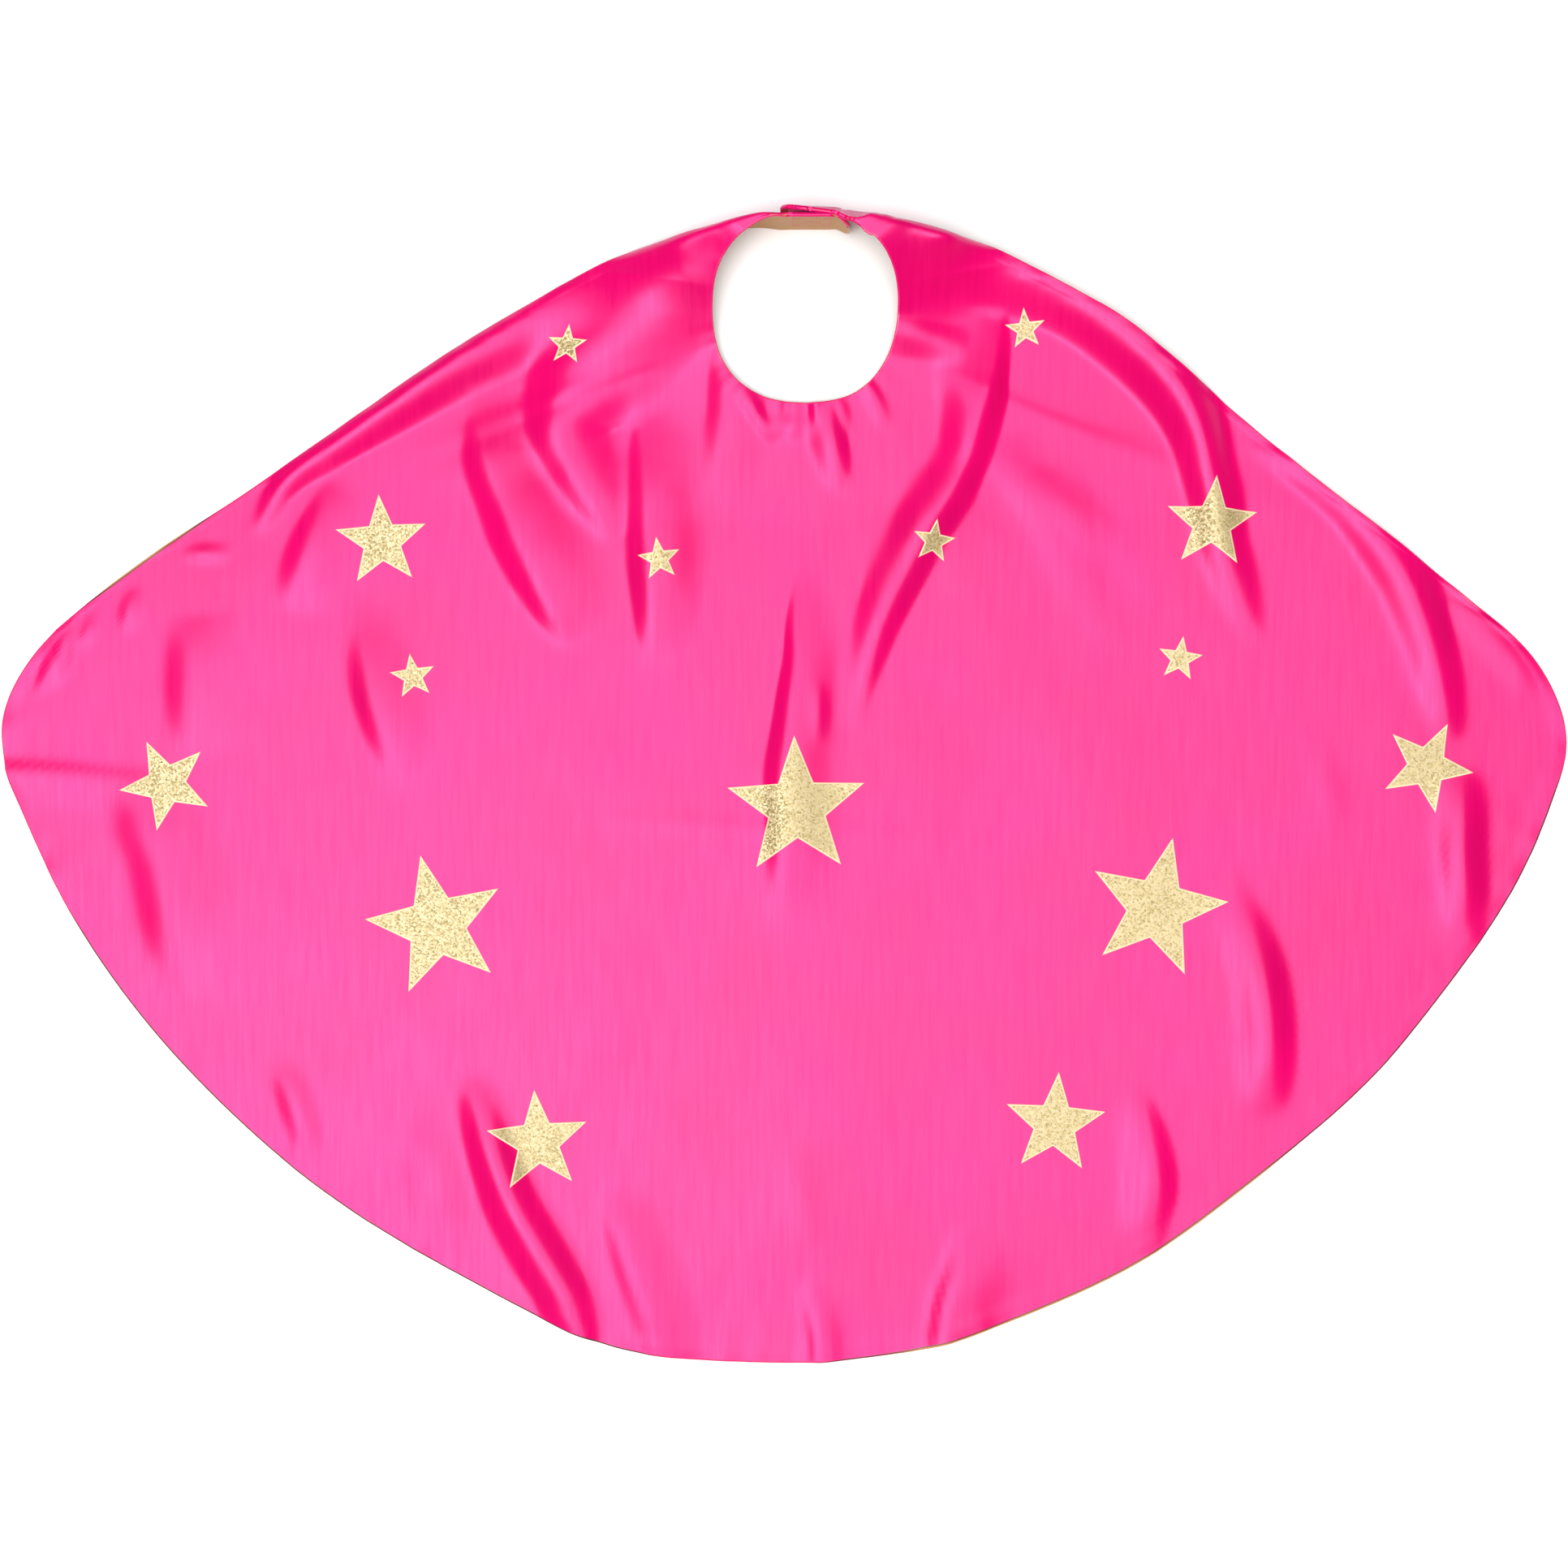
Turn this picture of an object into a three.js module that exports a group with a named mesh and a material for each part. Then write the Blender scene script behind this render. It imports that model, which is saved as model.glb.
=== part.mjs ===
// A child's superhero cape, lying open on a flat surface with its neck tabs fastened.
// Millimetres. +X runs across the cape, +Y from the hem to the neck, +Z up from the surface.
// The cape is two layers of satin, sewn together round every edge: a shell on top and a lining
// underneath. It lies flat, except round the neck, where it rises to the two tabs. These stand
// on edge and overlap, with a hook patch and a loop patch between them.
import * as THREE from "three";

// Driving dimensions.
const WIDTH = 944; // side corner to side corner
const LENGTH = 691; // hem to the outer face of the outer tab
const CLOTH = 0.6; // thickness of one layer
const GAP = 0.3; // clearance between pieces that touch
const SEAM = 0.8; // thickness of the sewn edge

const NECK_WIDTH = 110; // inside the neck opening
const NECK_TO_HEM = 56; // widest line of the opening to its edge on the hem side
const NECK_TO_TABS = 49; // widest line of the opening to its edge on the tab side
const NECK_SQUARENESS = 2.3; // exponent of the opening's rounded outline
const NECK_CENTRE_X = 13;
const NECK_BELOW_TOP = 55.5; // from the outer face of the tabs to the widest line of the opening
const NECK_HEM_SIDE_RISE = 4; // height of the neck edge above the surface on the hem side
const NECK_SPREAD = 62; // distance over which the raised neck comes down to the surface

const TAB_HEIGHT = 45; // neck edge to outer edge of a tab
const TAB_END_RADIUS = 12;
const TAB_FOOT = 8; // distance in plan between a tab's two edges at its root
const INNER_TAB_ANGLE = 133; // direction of each root from the centre of the opening, degrees
const OUTER_TAB_ANGLE = 41;
const INNER_TAB_END_X = 38;
const OUTER_TAB_END_X = -1;
const TAB_STRAIGHT = 39; // length of the flat part of a tab, from its end

const PATCH_LENGTH = 28;
const PATCH_HEIGHT = 25;
const PATCH_THICKNESS = 1.2;
const PATCH_CORNER = 2;
const THREAD = 0.4;
const STITCH_INSET = 2.5; // edge of a patch to its line of stitches
const STITCH_WIDTH = 0.8;

const STAR_FILM = 0.4; // thickness of the glitter film
const STAR_WAIST = 0.42; // inner radius of a star as a share of its outer radius
const STAR_CENTRE_X = 7.6; // line about which the pairs of stars lie
const RIGHT_STAR_SHIFT = 10.6; // right-hand stars lie this much nearer the neck

// Steps of the meshes.
const RAYS = 66;
const RAISED_RINGS = 5;
const FLAT_RINGS = 3;
const TAB_STEPS = 14;
const TAB_ROWS = 4;
const END_STEPS = 5;

// The outer edge, from the root of the inner tab by the left side, the hem and the right side to
// the root of the outer tab, as shares of half the width and half the length.
const EDGE_POINTS = [
  [-0.11, 0.957],
  [-0.17, 0.937],
  [-0.267, 0.889],
  [-0.407, 0.784],
  [-0.71, 0.502],
  [-0.832, 0.386],
  [-0.938, 0.268],
  [-0.991, 0.161],
  [-1, 0.07],
  [-0.981, -0.029],
  [-0.907, -0.236],
  [-0.78, -0.465],
  [-0.6, -0.69],
  [-0.396, -0.861],
  [-0.214, -0.974],
  [-0.02, -1],
  [0.128, -0.987],
  [0.252, -0.945],
  [0.439, -0.835],
  [0.591, -0.69],
  [0.739, -0.52],
  [0.845, -0.349],
  [0.93, -0.179],
  [0.981, -0.023],
  [1, 0.095],
  [0.964, 0.219],
  [0.877, 0.331],
  [0.665, 0.557],
  [0.519, 0.728],
  [0.417, 0.832],
  [0.254, 0.929],
  [0.167, 0.957],
];

// Stars on the shell: place from the pairs' own centre line as shares of half the width and half
// the length, radius, and tilt in degrees. A pair is the place on the left and its mirror image.
const STAR_PAIRS = [
  { name: "shoulder", x: 0.292, y: 0.773, radius: 12.5, tilt: -6 },
  { name: "upper_side", x: 0.53, y: 0.434, radius: 28.5, tilt: 4 },
  { name: "upper_inner", x: 0.175, y: 0.402, radius: 13.5, tilt: 8 },
  { name: "middle", x: 0.49, y: 0.198, radius: 14, tilt: 8.5 },
  { name: "side", x: 0.805, y: 0.01, radius: 28.5, tilt: 25.5 },
  { name: "lower_side", x: 0.46, y: -0.237, radius: 43.5, tilt: 13 },
  { name: "hem", x: 0.33, y: -0.614, radius: 31.5, tilt: 4.5 },
];
const CENTRE_STAR = { y: -0.031, radius: 43.5, tilt: 2 };

const HALF_WIDTH = WIDTH / 2;
const HALF_LENGTH = LENGTH / 2;
const TWO_LAYERS = 2 * CLOTH + GAP;
const NECK_CENTRE = new THREE.Vector2(NECK_CENTRE_X, HALF_LENGTH - NECK_BELOW_TOP);
const SEAM_REACH = GAP + SEAM; // how far the sewn edge stands out from the cloth
const PATCH_STACK = PATCH_THICKNESS + THREAD + 2 * GAP; // a patch, its stitches and their gaps

const radians = THREE.MathUtils.degToRad;
const LEFT_ROOT = radians(INNER_TAB_ANGLE);
const RIGHT_ROOT = radians(OUTER_TAB_ANGLE + 360);
const HEM_SIDE = radians(270);

const SATIN = { color: 0xff5fa5, roughness: 0.38, metalness: 0 };
const LINING = { color: 0xc98a4b, roughness: 0.4, metalness: 0 };
const GLITTER = { color: 0xe0d795, roughness: 0.45, metalness: 0.5 };
const TAPE = { color: 0xe9417f, roughness: 0.9, metalness: 0 };
const STITCHES = { color: 0xd8206a, roughness: 0.6, metalness: 0 };

const cape = new THREE.Group();

function addMesh(name, geometry, finish) {
  const mesh = new THREE.Mesh(geometry, new THREE.MeshStandardMaterial(finish));
  mesh.name = name;
  cape.add(mesh);
  return mesh;
}

// ---- The outlines in plan, as distances from the centre of the neck opening ----

function neckRadius(angle) {
  const across = Math.abs(Math.cos(angle)) / (NECK_WIDTH / 2);
  const reach = Math.sin(angle) < 0 ? NECK_TO_HEM : NECK_TO_TABS;
  const along = Math.abs(Math.sin(angle)) / reach;
  const sum = across ** NECK_SQUARENESS + along ** NECK_SQUARENESS;
  return sum ** (-1 / NECK_SQUARENESS);
}

function planPoint(angle, radius) {
  const ray = new THREE.Vector2(Math.cos(angle), Math.sin(angle));
  return ray.multiplyScalar(radius).add(NECK_CENTRE);
}

// The outer edge as a list of angles and radii, from one root to the other.
function edgeSamples() {
  const insetX = HALF_WIDTH - SEAM_REACH;
  const insetY = HALF_LENGTH - SEAM_REACH;
  const points = EDGE_POINTS.map(([x, y]) => new THREE.Vector2(x * insetX, y * insetY));
  points.unshift(planPoint(LEFT_ROOT, neckRadius(LEFT_ROOT) + TAB_FOOT));
  points.push(planPoint(RIGHT_ROOT, neckRadius(RIGHT_ROOT) + TAB_FOOT));
  const samples = new THREE.SplineCurve(points).getPoints(900);
  let length = 0;
  return samples.map((point, index) => {
    const arm = point.clone().sub(NECK_CENTRE);
    const angle = (arm.angle() + 2 * Math.PI - LEFT_ROOT + 1e-6) % (2 * Math.PI);
    length += index ? point.distanceTo(samples[index - 1]) : 0;
    return { angle: angle + LEFT_ROOT - 1e-6, radius: arm.length(), length };
  });
}

const EDGE = edgeSamples();
const EDGE_LENGTH = EDGE[EDGE.length - 1].length;

function edgeRadius(angle) {
  const found = EDGE.findIndex((sample) => sample.angle >= angle);
  const next = found < 0 ? EDGE.length - 1 : Math.max(found, 1);
  const before = EDGE[next - 1];
  const after = EDGE[next];
  const share = THREE.MathUtils.inverseLerp(before.angle, after.angle, angle);
  return THREE.MathUtils.lerp(before.radius, after.radius, THREE.MathUtils.clamp(share, 0, 1));
}

// Ray directions spaced by a mean of even angles at the neck and even lengths at the outer edge.
function rayAngles(count) {
  const share = (sample) => {
    const turned = (sample.angle - LEFT_ROOT) / (RIGHT_ROOT - LEFT_ROOT);
    return (turned + sample.length / EDGE_LENGTH) / 2;
  };
  const angles = [];
  for (let ray = 0; ray <= count; ray++) {
    const sample = EDGE.find((candidate) => share(candidate) >= ray / count);
    angles.push(sample ? sample.angle : RIGHT_ROOT);
  }
  angles[0] = LEFT_ROOT;
  angles[count] = RIGHT_ROOT;
  return angles;
}

// ---- The raised neck ----

// 0 on the hem side of the opening, 1 at the root of a tab.
function nearTabs(angle) {
  const root = angle < HEM_SIDE ? LEFT_ROOT : RIGHT_ROOT;
  return (1 - Math.cos(angle - HEM_SIDE)) / (1 - Math.cos(root - HEM_SIDE));
}

function neckEdgeHeight(angle) {
  const top = TAB_HEIGHT - SEAM_REACH;
  return NECK_HEM_SIDE_RISE + (top - NECK_HEM_SIDE_RISE) * nearTabs(angle) ** 1.3;
}

// Height of the underside of the cape, at a distance out from the neck edge along a ray.
function undersideHeight(angle, distance) {
  const spread = Math.min(edgeRadius(angle) - neckRadius(angle), NECK_SPREAD);
  const left = Math.max(1 - distance / spread, 0);
  const rise = neckEdgeHeight(angle);
  const steepness = rise / Math.hypot(rise, spread);
  const sag = 1 + 0.8 * (1 - steepness); // straight at the roots, hollow elsewhere
  const foot = SEAM_REACH * Math.max(steepness * 2 - 1, 0);
  const footShare = THREE.MathUtils.clamp(distance / spread, 0, 1);
  return rise * left ** sag + foot * footShare;
}

// ---- Sheets: a grid of points on the underside, with the direction of the outer face at each ----

function gridNormals(points) {
  const last = (list) => list.length - 1;
  return points.map((row, i) =>
    row.map((_, j) => {
      const nextRow = points[Math.min(i + 1, last(points))][j];
      const lastRow = points[Math.max(i - 1, 0)][j];
      const nextPoint = row[Math.min(j + 1, last(row))];
      const lastPoint = row[Math.max(j - 1, 0)];
      const alongRows = nextRow.clone().sub(lastRow);
      const alongRow = nextPoint.clone().sub(lastPoint);
      return alongRow.cross(alongRows).normalize();
    }),
  );
}

// Turns a row of normals into the upright plane through the neck's centre, so that the row's two
// layers end flush at a tab's root.
function squareOff(normals, angle) {
  const across = new THREE.Vector3(-Math.sin(angle), Math.cos(angle), 0);
  normals.forEach((normal) => normal.projectOnPlane(across).normalize());
}

// A closed solid between two grids of points, the second on the side that the faces turn to.
function solidBetween(lower, upper) {
  const rows = lower.length;
  const columns = lower[0].length;
  const positions = [...lower.flat(), ...upper.flat()].flatMap((p) => [p.x, p.y, p.z]);
  const low = (i, j) => i * columns + j;
  const high = (i, j) => rows * columns + low(i, j);
  const faces = [];
  const quad = (a, b, c, d) => faces.push(a, b, c, a, c, d);
  for (let i = 0; i + 1 < rows; i++) {
    for (let j = 0; j + 1 < columns; j++) {
      quad(high(i, j), high(i, j + 1), high(i + 1, j + 1), high(i + 1, j));
      quad(low(i, j), low(i + 1, j), low(i + 1, j + 1), low(i, j + 1));
    }
    quad(low(i, 0), high(i, 0), high(i + 1, 0), low(i + 1, 0));
    quad(low(i, columns - 1), low(i + 1, columns - 1), high(i + 1, columns - 1), high(i, columns - 1));
  }
  for (let j = 0; j + 1 < columns; j++) {
    quad(low(0, j), low(0, j + 1), high(0, j + 1), high(0, j));
    quad(low(rows - 1, j), high(rows - 1, j), high(rows - 1, j + 1), low(rows - 1, j + 1));
  }
  const geometry = new THREE.BufferGeometry();
  geometry.setAttribute("position", new THREE.Float32BufferAttribute(positions, 3));
  geometry.setIndex(faces);
  geometry.computeVertexNormals();
  return geometry;
}

function offsetGrid(sheet, distance) {
  return sheet.points.map((row, i) =>
    row.map((point, j) => point.clone().addScaledVector(sheet.normals[i][j], distance)),
  );
}

function layer(sheet, from, thickness) {
  return solidBetween(offsetGrid(sheet, from), offsetGrid(sheet, from + thickness));
}

// A square strip along an edge: the edge's points, each with a way out of the cloth and a way
// through it.
function edgeStrip(edge) {
  const corners = (out, through) =>
    edge.map(({ point, outward, normal }) =>
      point.clone().addScaledVector(outward, out).addScaledVector(normal, through),
    );
  const middle = TWO_LAYERS / 2;
  const near = (through) => corners(GAP, through);
  const far = (through) => corners(SEAM_REACH, through);
  const columns = (first, second) => first.map((point, i) => [point, second[i]]);
  const lower = columns(near(middle - SEAM / 2), far(middle - SEAM / 2));
  const upper = columns(near(middle + SEAM / 2), far(middle + SEAM / 2));
  return solidBetween(lower, upper);
}

function edgePoint(sheet, i, j, inner) {
  const point = sheet.points[i][j];
  const outward = point.clone().sub(inner).normalize();
  return { point, outward, normal: sheet.normals[i][j] };
}

// ---- Main panel ----

// Distances out from the neck edge: even steps over the raised part, then even steps to the edge.
function ringDistances(reach) {
  const raised = Math.min(NECK_SPREAD, 0.8 * reach);
  const distances = [];
  for (let ring = 0; ring < RAISED_RINGS; ring++) distances.push((raised * ring) / RAISED_RINGS);
  for (let ring = 0; ring <= FLAT_RINGS; ring++) {
    distances.push(THREE.MathUtils.lerp(raised, reach, ring / FLAT_RINGS));
  }
  return distances;
}

function mainSheet() {
  const points = rayAngles(RAYS).map((angle) => {
    const neck = neckRadius(angle);
    return ringDistances(edgeRadius(angle) - neck).map((distance) => {
      const plan = planPoint(angle, neck + distance);
      return new THREE.Vector3(plan.x, plan.y, undersideHeight(angle, distance));
    });
  });
  const normals = gridNormals(points);
  squareOff(normals[0], LEFT_ROOT);
  squareOff(normals[RAYS], RIGHT_ROOT);
  return { points, normals };
}

function addMainPanel() {
  const sheet = mainSheet();
  addMesh("main_lining", layer(sheet, 0, CLOTH), LINING);
  const shell = addMesh("main_satin", layer(sheet, CLOTH + GAP, CLOTH), SATIN);
  const rim = RAISED_RINGS + FLAT_RINGS;
  const outerEdge = sheet.points.map((row, i) => edgePoint(sheet, i, rim, row[rim - 1]));
  const neckEdge = sheet.points.map((row, i) => edgePoint(sheet, i, 0, row[1]));
  neckEdge.reverse();
  addMesh("outer_edge_seam", edgeStrip(outerEdge), SATIN);
  addMesh("neck_edge_seam", edgeStrip(neckEdge), SATIN);
  return shell;
}

// ---- Tabs ----

// The line of one edge of a tab in plan: a bend from the root, then a straight to the end.
function tabLine(root, rootDirection, end) {
  const run = Math.sign(end.x - root.x);
  const straightStart = new THREE.Vector2(end.x - run * TAB_STRAIGHT, end.y);
  const reach = root.distanceTo(straightStart) / 3;
  const line = new THREE.CurvePath();
  line.add(
    new THREE.CubicBezierCurve(
      root,
      root.clone().addScaledVector(rootDirection, reach),
      new THREE.Vector2(straightStart.x - run * reach, end.y),
      straightStart,
    ),
  );
  line.add(new THREE.LineCurve(straightStart, end));
  return line;
}

// How much the rounded end takes off the top and the bottom of a tab, at a distance from the end.
function endInset(fromEnd) {
  const into = Math.max(TAB_END_RADIUS - fromEnd, 0);
  return TAB_END_RADIUS - Math.sqrt(TAB_END_RADIUS ** 2 - into ** 2);
}

// Places along a tab, in mm from its end: even steps, then closer ones round the end.
function tabPlaces(length) {
  const places = [];
  for (let step = 0; step < TAB_STEPS; step++) {
    places.push(length - (step / TAB_STEPS) * (length - TAB_END_RADIUS));
  }
  for (let step = 0; step <= END_STEPS; step++) {
    places.push(TAB_END_RADIUS * (1 - Math.sin((step / END_STEPS) * Math.PI * 0.5)));
  }
  return places;
}

function tabSheet(angle, turn, endX, endY) {
  const end = new THREE.Vector2(endX, endY);
  const direction = new THREE.Vector2(-Math.sin(angle), Math.cos(angle)).multiplyScalar(turn);
  const rootPoint = (radius) => planPoint(angle, radius).addScaledVector(direction, GAP);
  const neckLine = tabLine(rootPoint(neckRadius(angle)), direction, end);
  const footLine = tabLine(rootPoint(neckRadius(angle) + TAB_FOOT), direction, end);
  const length = neckLine.getLength();
  const points = tabPlaces(length).map((place) => {
    const share = THREE.MathUtils.clamp(1 - place / length, 0, 1);
    const high = neckLine.getPointAt(share);
    const low = footLine.getPointAt(share);
    const inset = endInset(place) + SEAM_REACH;
    const row = [];
    for (let j = 0; j <= TAB_ROWS; j++) {
      const height = THREE.MathUtils.lerp(TAB_HEIGHT - inset, inset, j / TAB_ROWS);
      const plan = low.clone().lerp(high, height / TAB_HEIGHT);
      row.push(new THREE.Vector3(plan.x, plan.y, height));
    }
    return row;
  });
  if (turn < 0) points.reverse();
  const normals = gridNormals(points);
  squareOff(normals[turn < 0 ? normals.length - 1 : 0], angle);
  return { points, normals };
}

// The sewn edge of a tab: along the neck side, round the end and back along the foot.
function tabEdge(sheet, turn) {
  const order = sheet.points.map((_, i) => i);
  if (turn < 0) order.reverse();
  const lastPlace = order[order.length - 1];
  const neckSide = order.map((i) => [i, 0]);
  const endSide = Array.from({ length: TAB_ROWS - 1 }, (_, j) => [lastPlace, j + 1]);
  const footSide = order.map((i) => [i, TAB_ROWS]).reverse();
  const route = [...neckSide, ...endSide, ...footSide];
  const at = ([i, j]) => sheet.points[i][j];
  const edge = route.map(([i, j], step) => {
    const before = at(route[Math.max(step - 1, 0)]);
    const after = at(route[Math.min(step + 1, route.length - 1)]);
    const normal = sheet.normals[i][j];
    const outward = after.clone().sub(before).cross(normal).multiplyScalar(-turn).normalize();
    return { point: at([i, j]), outward, normal };
  });
  return turn < 0 ? edge : edge.reverse();
}

function addTab(name, sheet, turn) {
  addMesh(name + "_lining", layer(sheet, 0, CLOTH), LINING);
  addMesh(name + "_satin", layer(sheet, CLOTH + GAP, CLOTH), SATIN);
  addMesh(name + "_edge_seam", edgeStrip(tabEdge(sheet, turn)), SATIN);
}

// ---- Hook and loop patches ----

function roundedRectangle(target, width, height, corner) {
  const x = width / 2 - corner;
  const y = height / 2 - corner;
  target.absarc(x, y, corner, 0, Math.PI / 2);
  target.absarc(-x, y, corner, Math.PI / 2, Math.PI);
  target.absarc(-x, -y, corner, Math.PI, 1.5 * Math.PI);
  target.absarc(x, -y, corner, 1.5 * Math.PI, 2 * Math.PI);
  target.closePath();
  return target;
}

// A flat plate that stands upright, its faces at y and at y less its thickness.
function addUpright(name, shape, thickness, x, y, finish) {
  const options = { depth: thickness, bevelEnabled: false, curveSegments: 4 };
  const mesh = addMesh(name, new THREE.ExtrudeGeometry(shape, options), finish);
  mesh.rotation.x = Math.PI / 2;
  mesh.position.set(x, y, TAB_HEIGHT / 2);
}

function addPatch(name, patchY, stitchY) {
  const x = (INNER_TAB_END_X + OUTER_TAB_END_X) / 2 - PATCH_CORNER;
  const patch = roundedRectangle(new THREE.Shape(), PATCH_LENGTH, PATCH_HEIGHT, PATCH_CORNER);
  addUpright(name, patch, PATCH_THICKNESS, x, patchY, TAPE);
  const outerLength = PATCH_LENGTH - 2 * STITCH_INSET;
  const outerHeight = PATCH_HEIGHT - 2 * STITCH_INSET;
  const ring = roundedRectangle(new THREE.Shape(), outerLength, outerHeight, PATCH_CORNER);
  const innerLength = outerLength - 2 * STITCH_WIDTH;
  const innerHeight = outerHeight - 2 * STITCH_WIDTH;
  const hole = roundedRectangle(new THREE.Path(), innerLength, innerHeight, PATCH_CORNER / 2);
  ring.holes.push(hole);
  addUpright(name + "_stitches", ring, THREAD, x, stitchY, STITCHES);
}

function addTabsAndPatches() {
  const outerTabY = HALF_LENGTH - TWO_LAYERS;
  const innerTabY = outerTabY - 2 * PATCH_STACK - GAP - GAP / 2 - TWO_LAYERS;
  const innerFaceY = innerTabY + TWO_LAYERS;
  addTab("inner_tab", tabSheet(LEFT_ROOT, -1, INNER_TAB_END_X, innerTabY), -1);
  addTab("outer_tab", tabSheet(RIGHT_ROOT, 1, OUTER_TAB_END_X, outerTabY), 1);
  addPatch("loop_patch", innerFaceY + GAP + PATCH_THICKNESS, innerFaceY + PATCH_STACK);
  addPatch("hook_patch", outerTabY - GAP, outerTabY - 2 * GAP - PATCH_THICKNESS);
}

// ---- Glitter stars ----

function starShape(radius) {
  const shape = new THREE.Shape();
  for (let corner = 0; corner < 10; corner++) {
    const reach = corner % 2 ? radius * STAR_WAIST : radius;
    const angle = Math.PI / 2 + (corner * Math.PI) / 5;
    shape.lineTo(reach * Math.cos(angle), reach * Math.sin(angle));
  }
  shape.closePath();
  return shape;
}

// Height of the shell's top face at a place in plan.
function shellHeight(shell, x, y) {
  const above = new THREE.Vector3(x, y, 2 * TAB_HEIGHT);
  const hits = new THREE.Raycaster(above, new THREE.Vector3(0, 0, -1)).intersectObject(shell);
  return hits.length ? hits[0].point.z : TWO_LAYERS;
}

// A star lies on the highest point of the shell under it.
function addStar(name, shell, x, y, radius, tilt) {
  const shape = starShape(radius);
  const turn = radians(tilt);
  const places = [0, 0.5, 1].flatMap((share) =>
    shape.getPoints().map((corner) => {
      const place = corner.clone().multiplyScalar(share).rotateAround(new THREE.Vector2(), turn);
      return shellHeight(shell, x + place.x, y + place.y);
    }),
  );
  const options = { depth: STAR_FILM, bevelEnabled: false };
  const mesh = addMesh(name, new THREE.ExtrudeGeometry(shape, options), GLITTER);
  mesh.rotation.z = turn;
  mesh.position.set(x, y, Math.max(...places) + GAP);
}

function addStars(shell) {
  for (const { name, x, y, radius, tilt } of STAR_PAIRS) {
    const leftX = STAR_CENTRE_X - x * HALF_WIDTH;
    const rightX = STAR_CENTRE_X + x * HALF_WIDTH;
    const leftY = y * HALF_LENGTH;
    addStar("star_" + name + "_left", shell, leftX, leftY, radius, tilt);
    addStar("star_" + name + "_right", shell, rightX, leftY + RIGHT_STAR_SHIFT, radius, -tilt);
  }
  const { y, radius, tilt } = CENTRE_STAR;
  addStar("star_centre", shell, STAR_CENTRE_X, y * HALF_LENGTH, radius, tilt);
}

addStars(addMainPanel());
addTabsAndPatches();

export default cape;
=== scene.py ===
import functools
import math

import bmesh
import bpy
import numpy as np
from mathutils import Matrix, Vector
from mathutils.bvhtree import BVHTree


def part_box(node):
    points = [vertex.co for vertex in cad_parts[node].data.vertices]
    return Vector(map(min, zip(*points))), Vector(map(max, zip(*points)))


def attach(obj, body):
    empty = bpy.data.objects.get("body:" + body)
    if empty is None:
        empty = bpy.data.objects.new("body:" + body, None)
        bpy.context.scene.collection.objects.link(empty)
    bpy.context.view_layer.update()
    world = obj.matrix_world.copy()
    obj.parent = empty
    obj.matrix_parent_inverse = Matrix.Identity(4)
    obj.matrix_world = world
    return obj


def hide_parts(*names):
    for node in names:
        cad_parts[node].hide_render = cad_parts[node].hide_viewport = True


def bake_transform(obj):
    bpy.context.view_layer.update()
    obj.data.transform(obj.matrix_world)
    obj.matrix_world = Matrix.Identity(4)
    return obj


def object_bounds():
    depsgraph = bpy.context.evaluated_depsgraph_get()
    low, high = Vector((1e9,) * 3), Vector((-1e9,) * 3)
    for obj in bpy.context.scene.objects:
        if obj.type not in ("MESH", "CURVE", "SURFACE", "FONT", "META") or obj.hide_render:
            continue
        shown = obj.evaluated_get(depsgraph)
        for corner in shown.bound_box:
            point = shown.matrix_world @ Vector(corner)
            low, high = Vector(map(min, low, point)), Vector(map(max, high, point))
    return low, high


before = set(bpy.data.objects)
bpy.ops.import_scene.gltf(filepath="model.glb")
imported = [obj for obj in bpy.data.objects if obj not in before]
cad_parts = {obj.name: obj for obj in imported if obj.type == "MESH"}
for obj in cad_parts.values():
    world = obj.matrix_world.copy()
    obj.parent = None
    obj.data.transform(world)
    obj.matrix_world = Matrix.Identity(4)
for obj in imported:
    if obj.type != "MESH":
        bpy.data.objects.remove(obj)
CAD_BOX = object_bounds()

# A child's superhero cape, laid open on a pale surface with its neck tabs fastened. Metres.
# +X runs across the cape, +Y from the hem to the neck, +Z up from the surface.
#
# The cape is one strip of cloth round the neck opening: the inner tab, the main panel and the
# outer tab. The strip is a grid of points. Its columns run along the strip and its rings run out
# from the neck edge, or down from the top edge of a tab. Shell, lining and rolled edges are all
# taken from that grid, so that they meet without a gap.

bl_info = {
    "name": "Superhero cape",
    "version": (1, 0, 0),
    "blender": (4, 5, 0),
    "location": "View3D > Sidebar > Cape",
    "description": "Makes a reversible satin cape with glitter stars round its CAD frame",
    "category": "Add Mesh",
}

MM = 0.001

# ---- Sizes that the pieces share with the frame ----

HALF_WIDTH = 472 * MM
HALF_LENGTH = 345.5 * MM
NECK_HALF_WIDTH = 55 * MM
NECK_TO_HEM = 56 * MM
NECK_TO_TABS = 49 * MM
NECK_SQUARENESS = 2.3  # exponent of the opening's rounded outline
NECK_CENTRE = np.array([13 * MM, HALF_LENGTH - 55.5 * MM])
NECK_HEM_SIDE_RISE = 4 * MM  # height of the neck edge on the hem side
NECK_STEEPNESS = 3.0  # how late the neck edge climbs on its way to the tabs
NECK_LEVELLING = 1.5  # how early it levels out before them
NECK_SPREAD = 74 * MM  # distance over which the raised neck comes down
EDGE_REACH = 1.1 * MM  # how far the rolled edge stands out from the cloth

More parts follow.
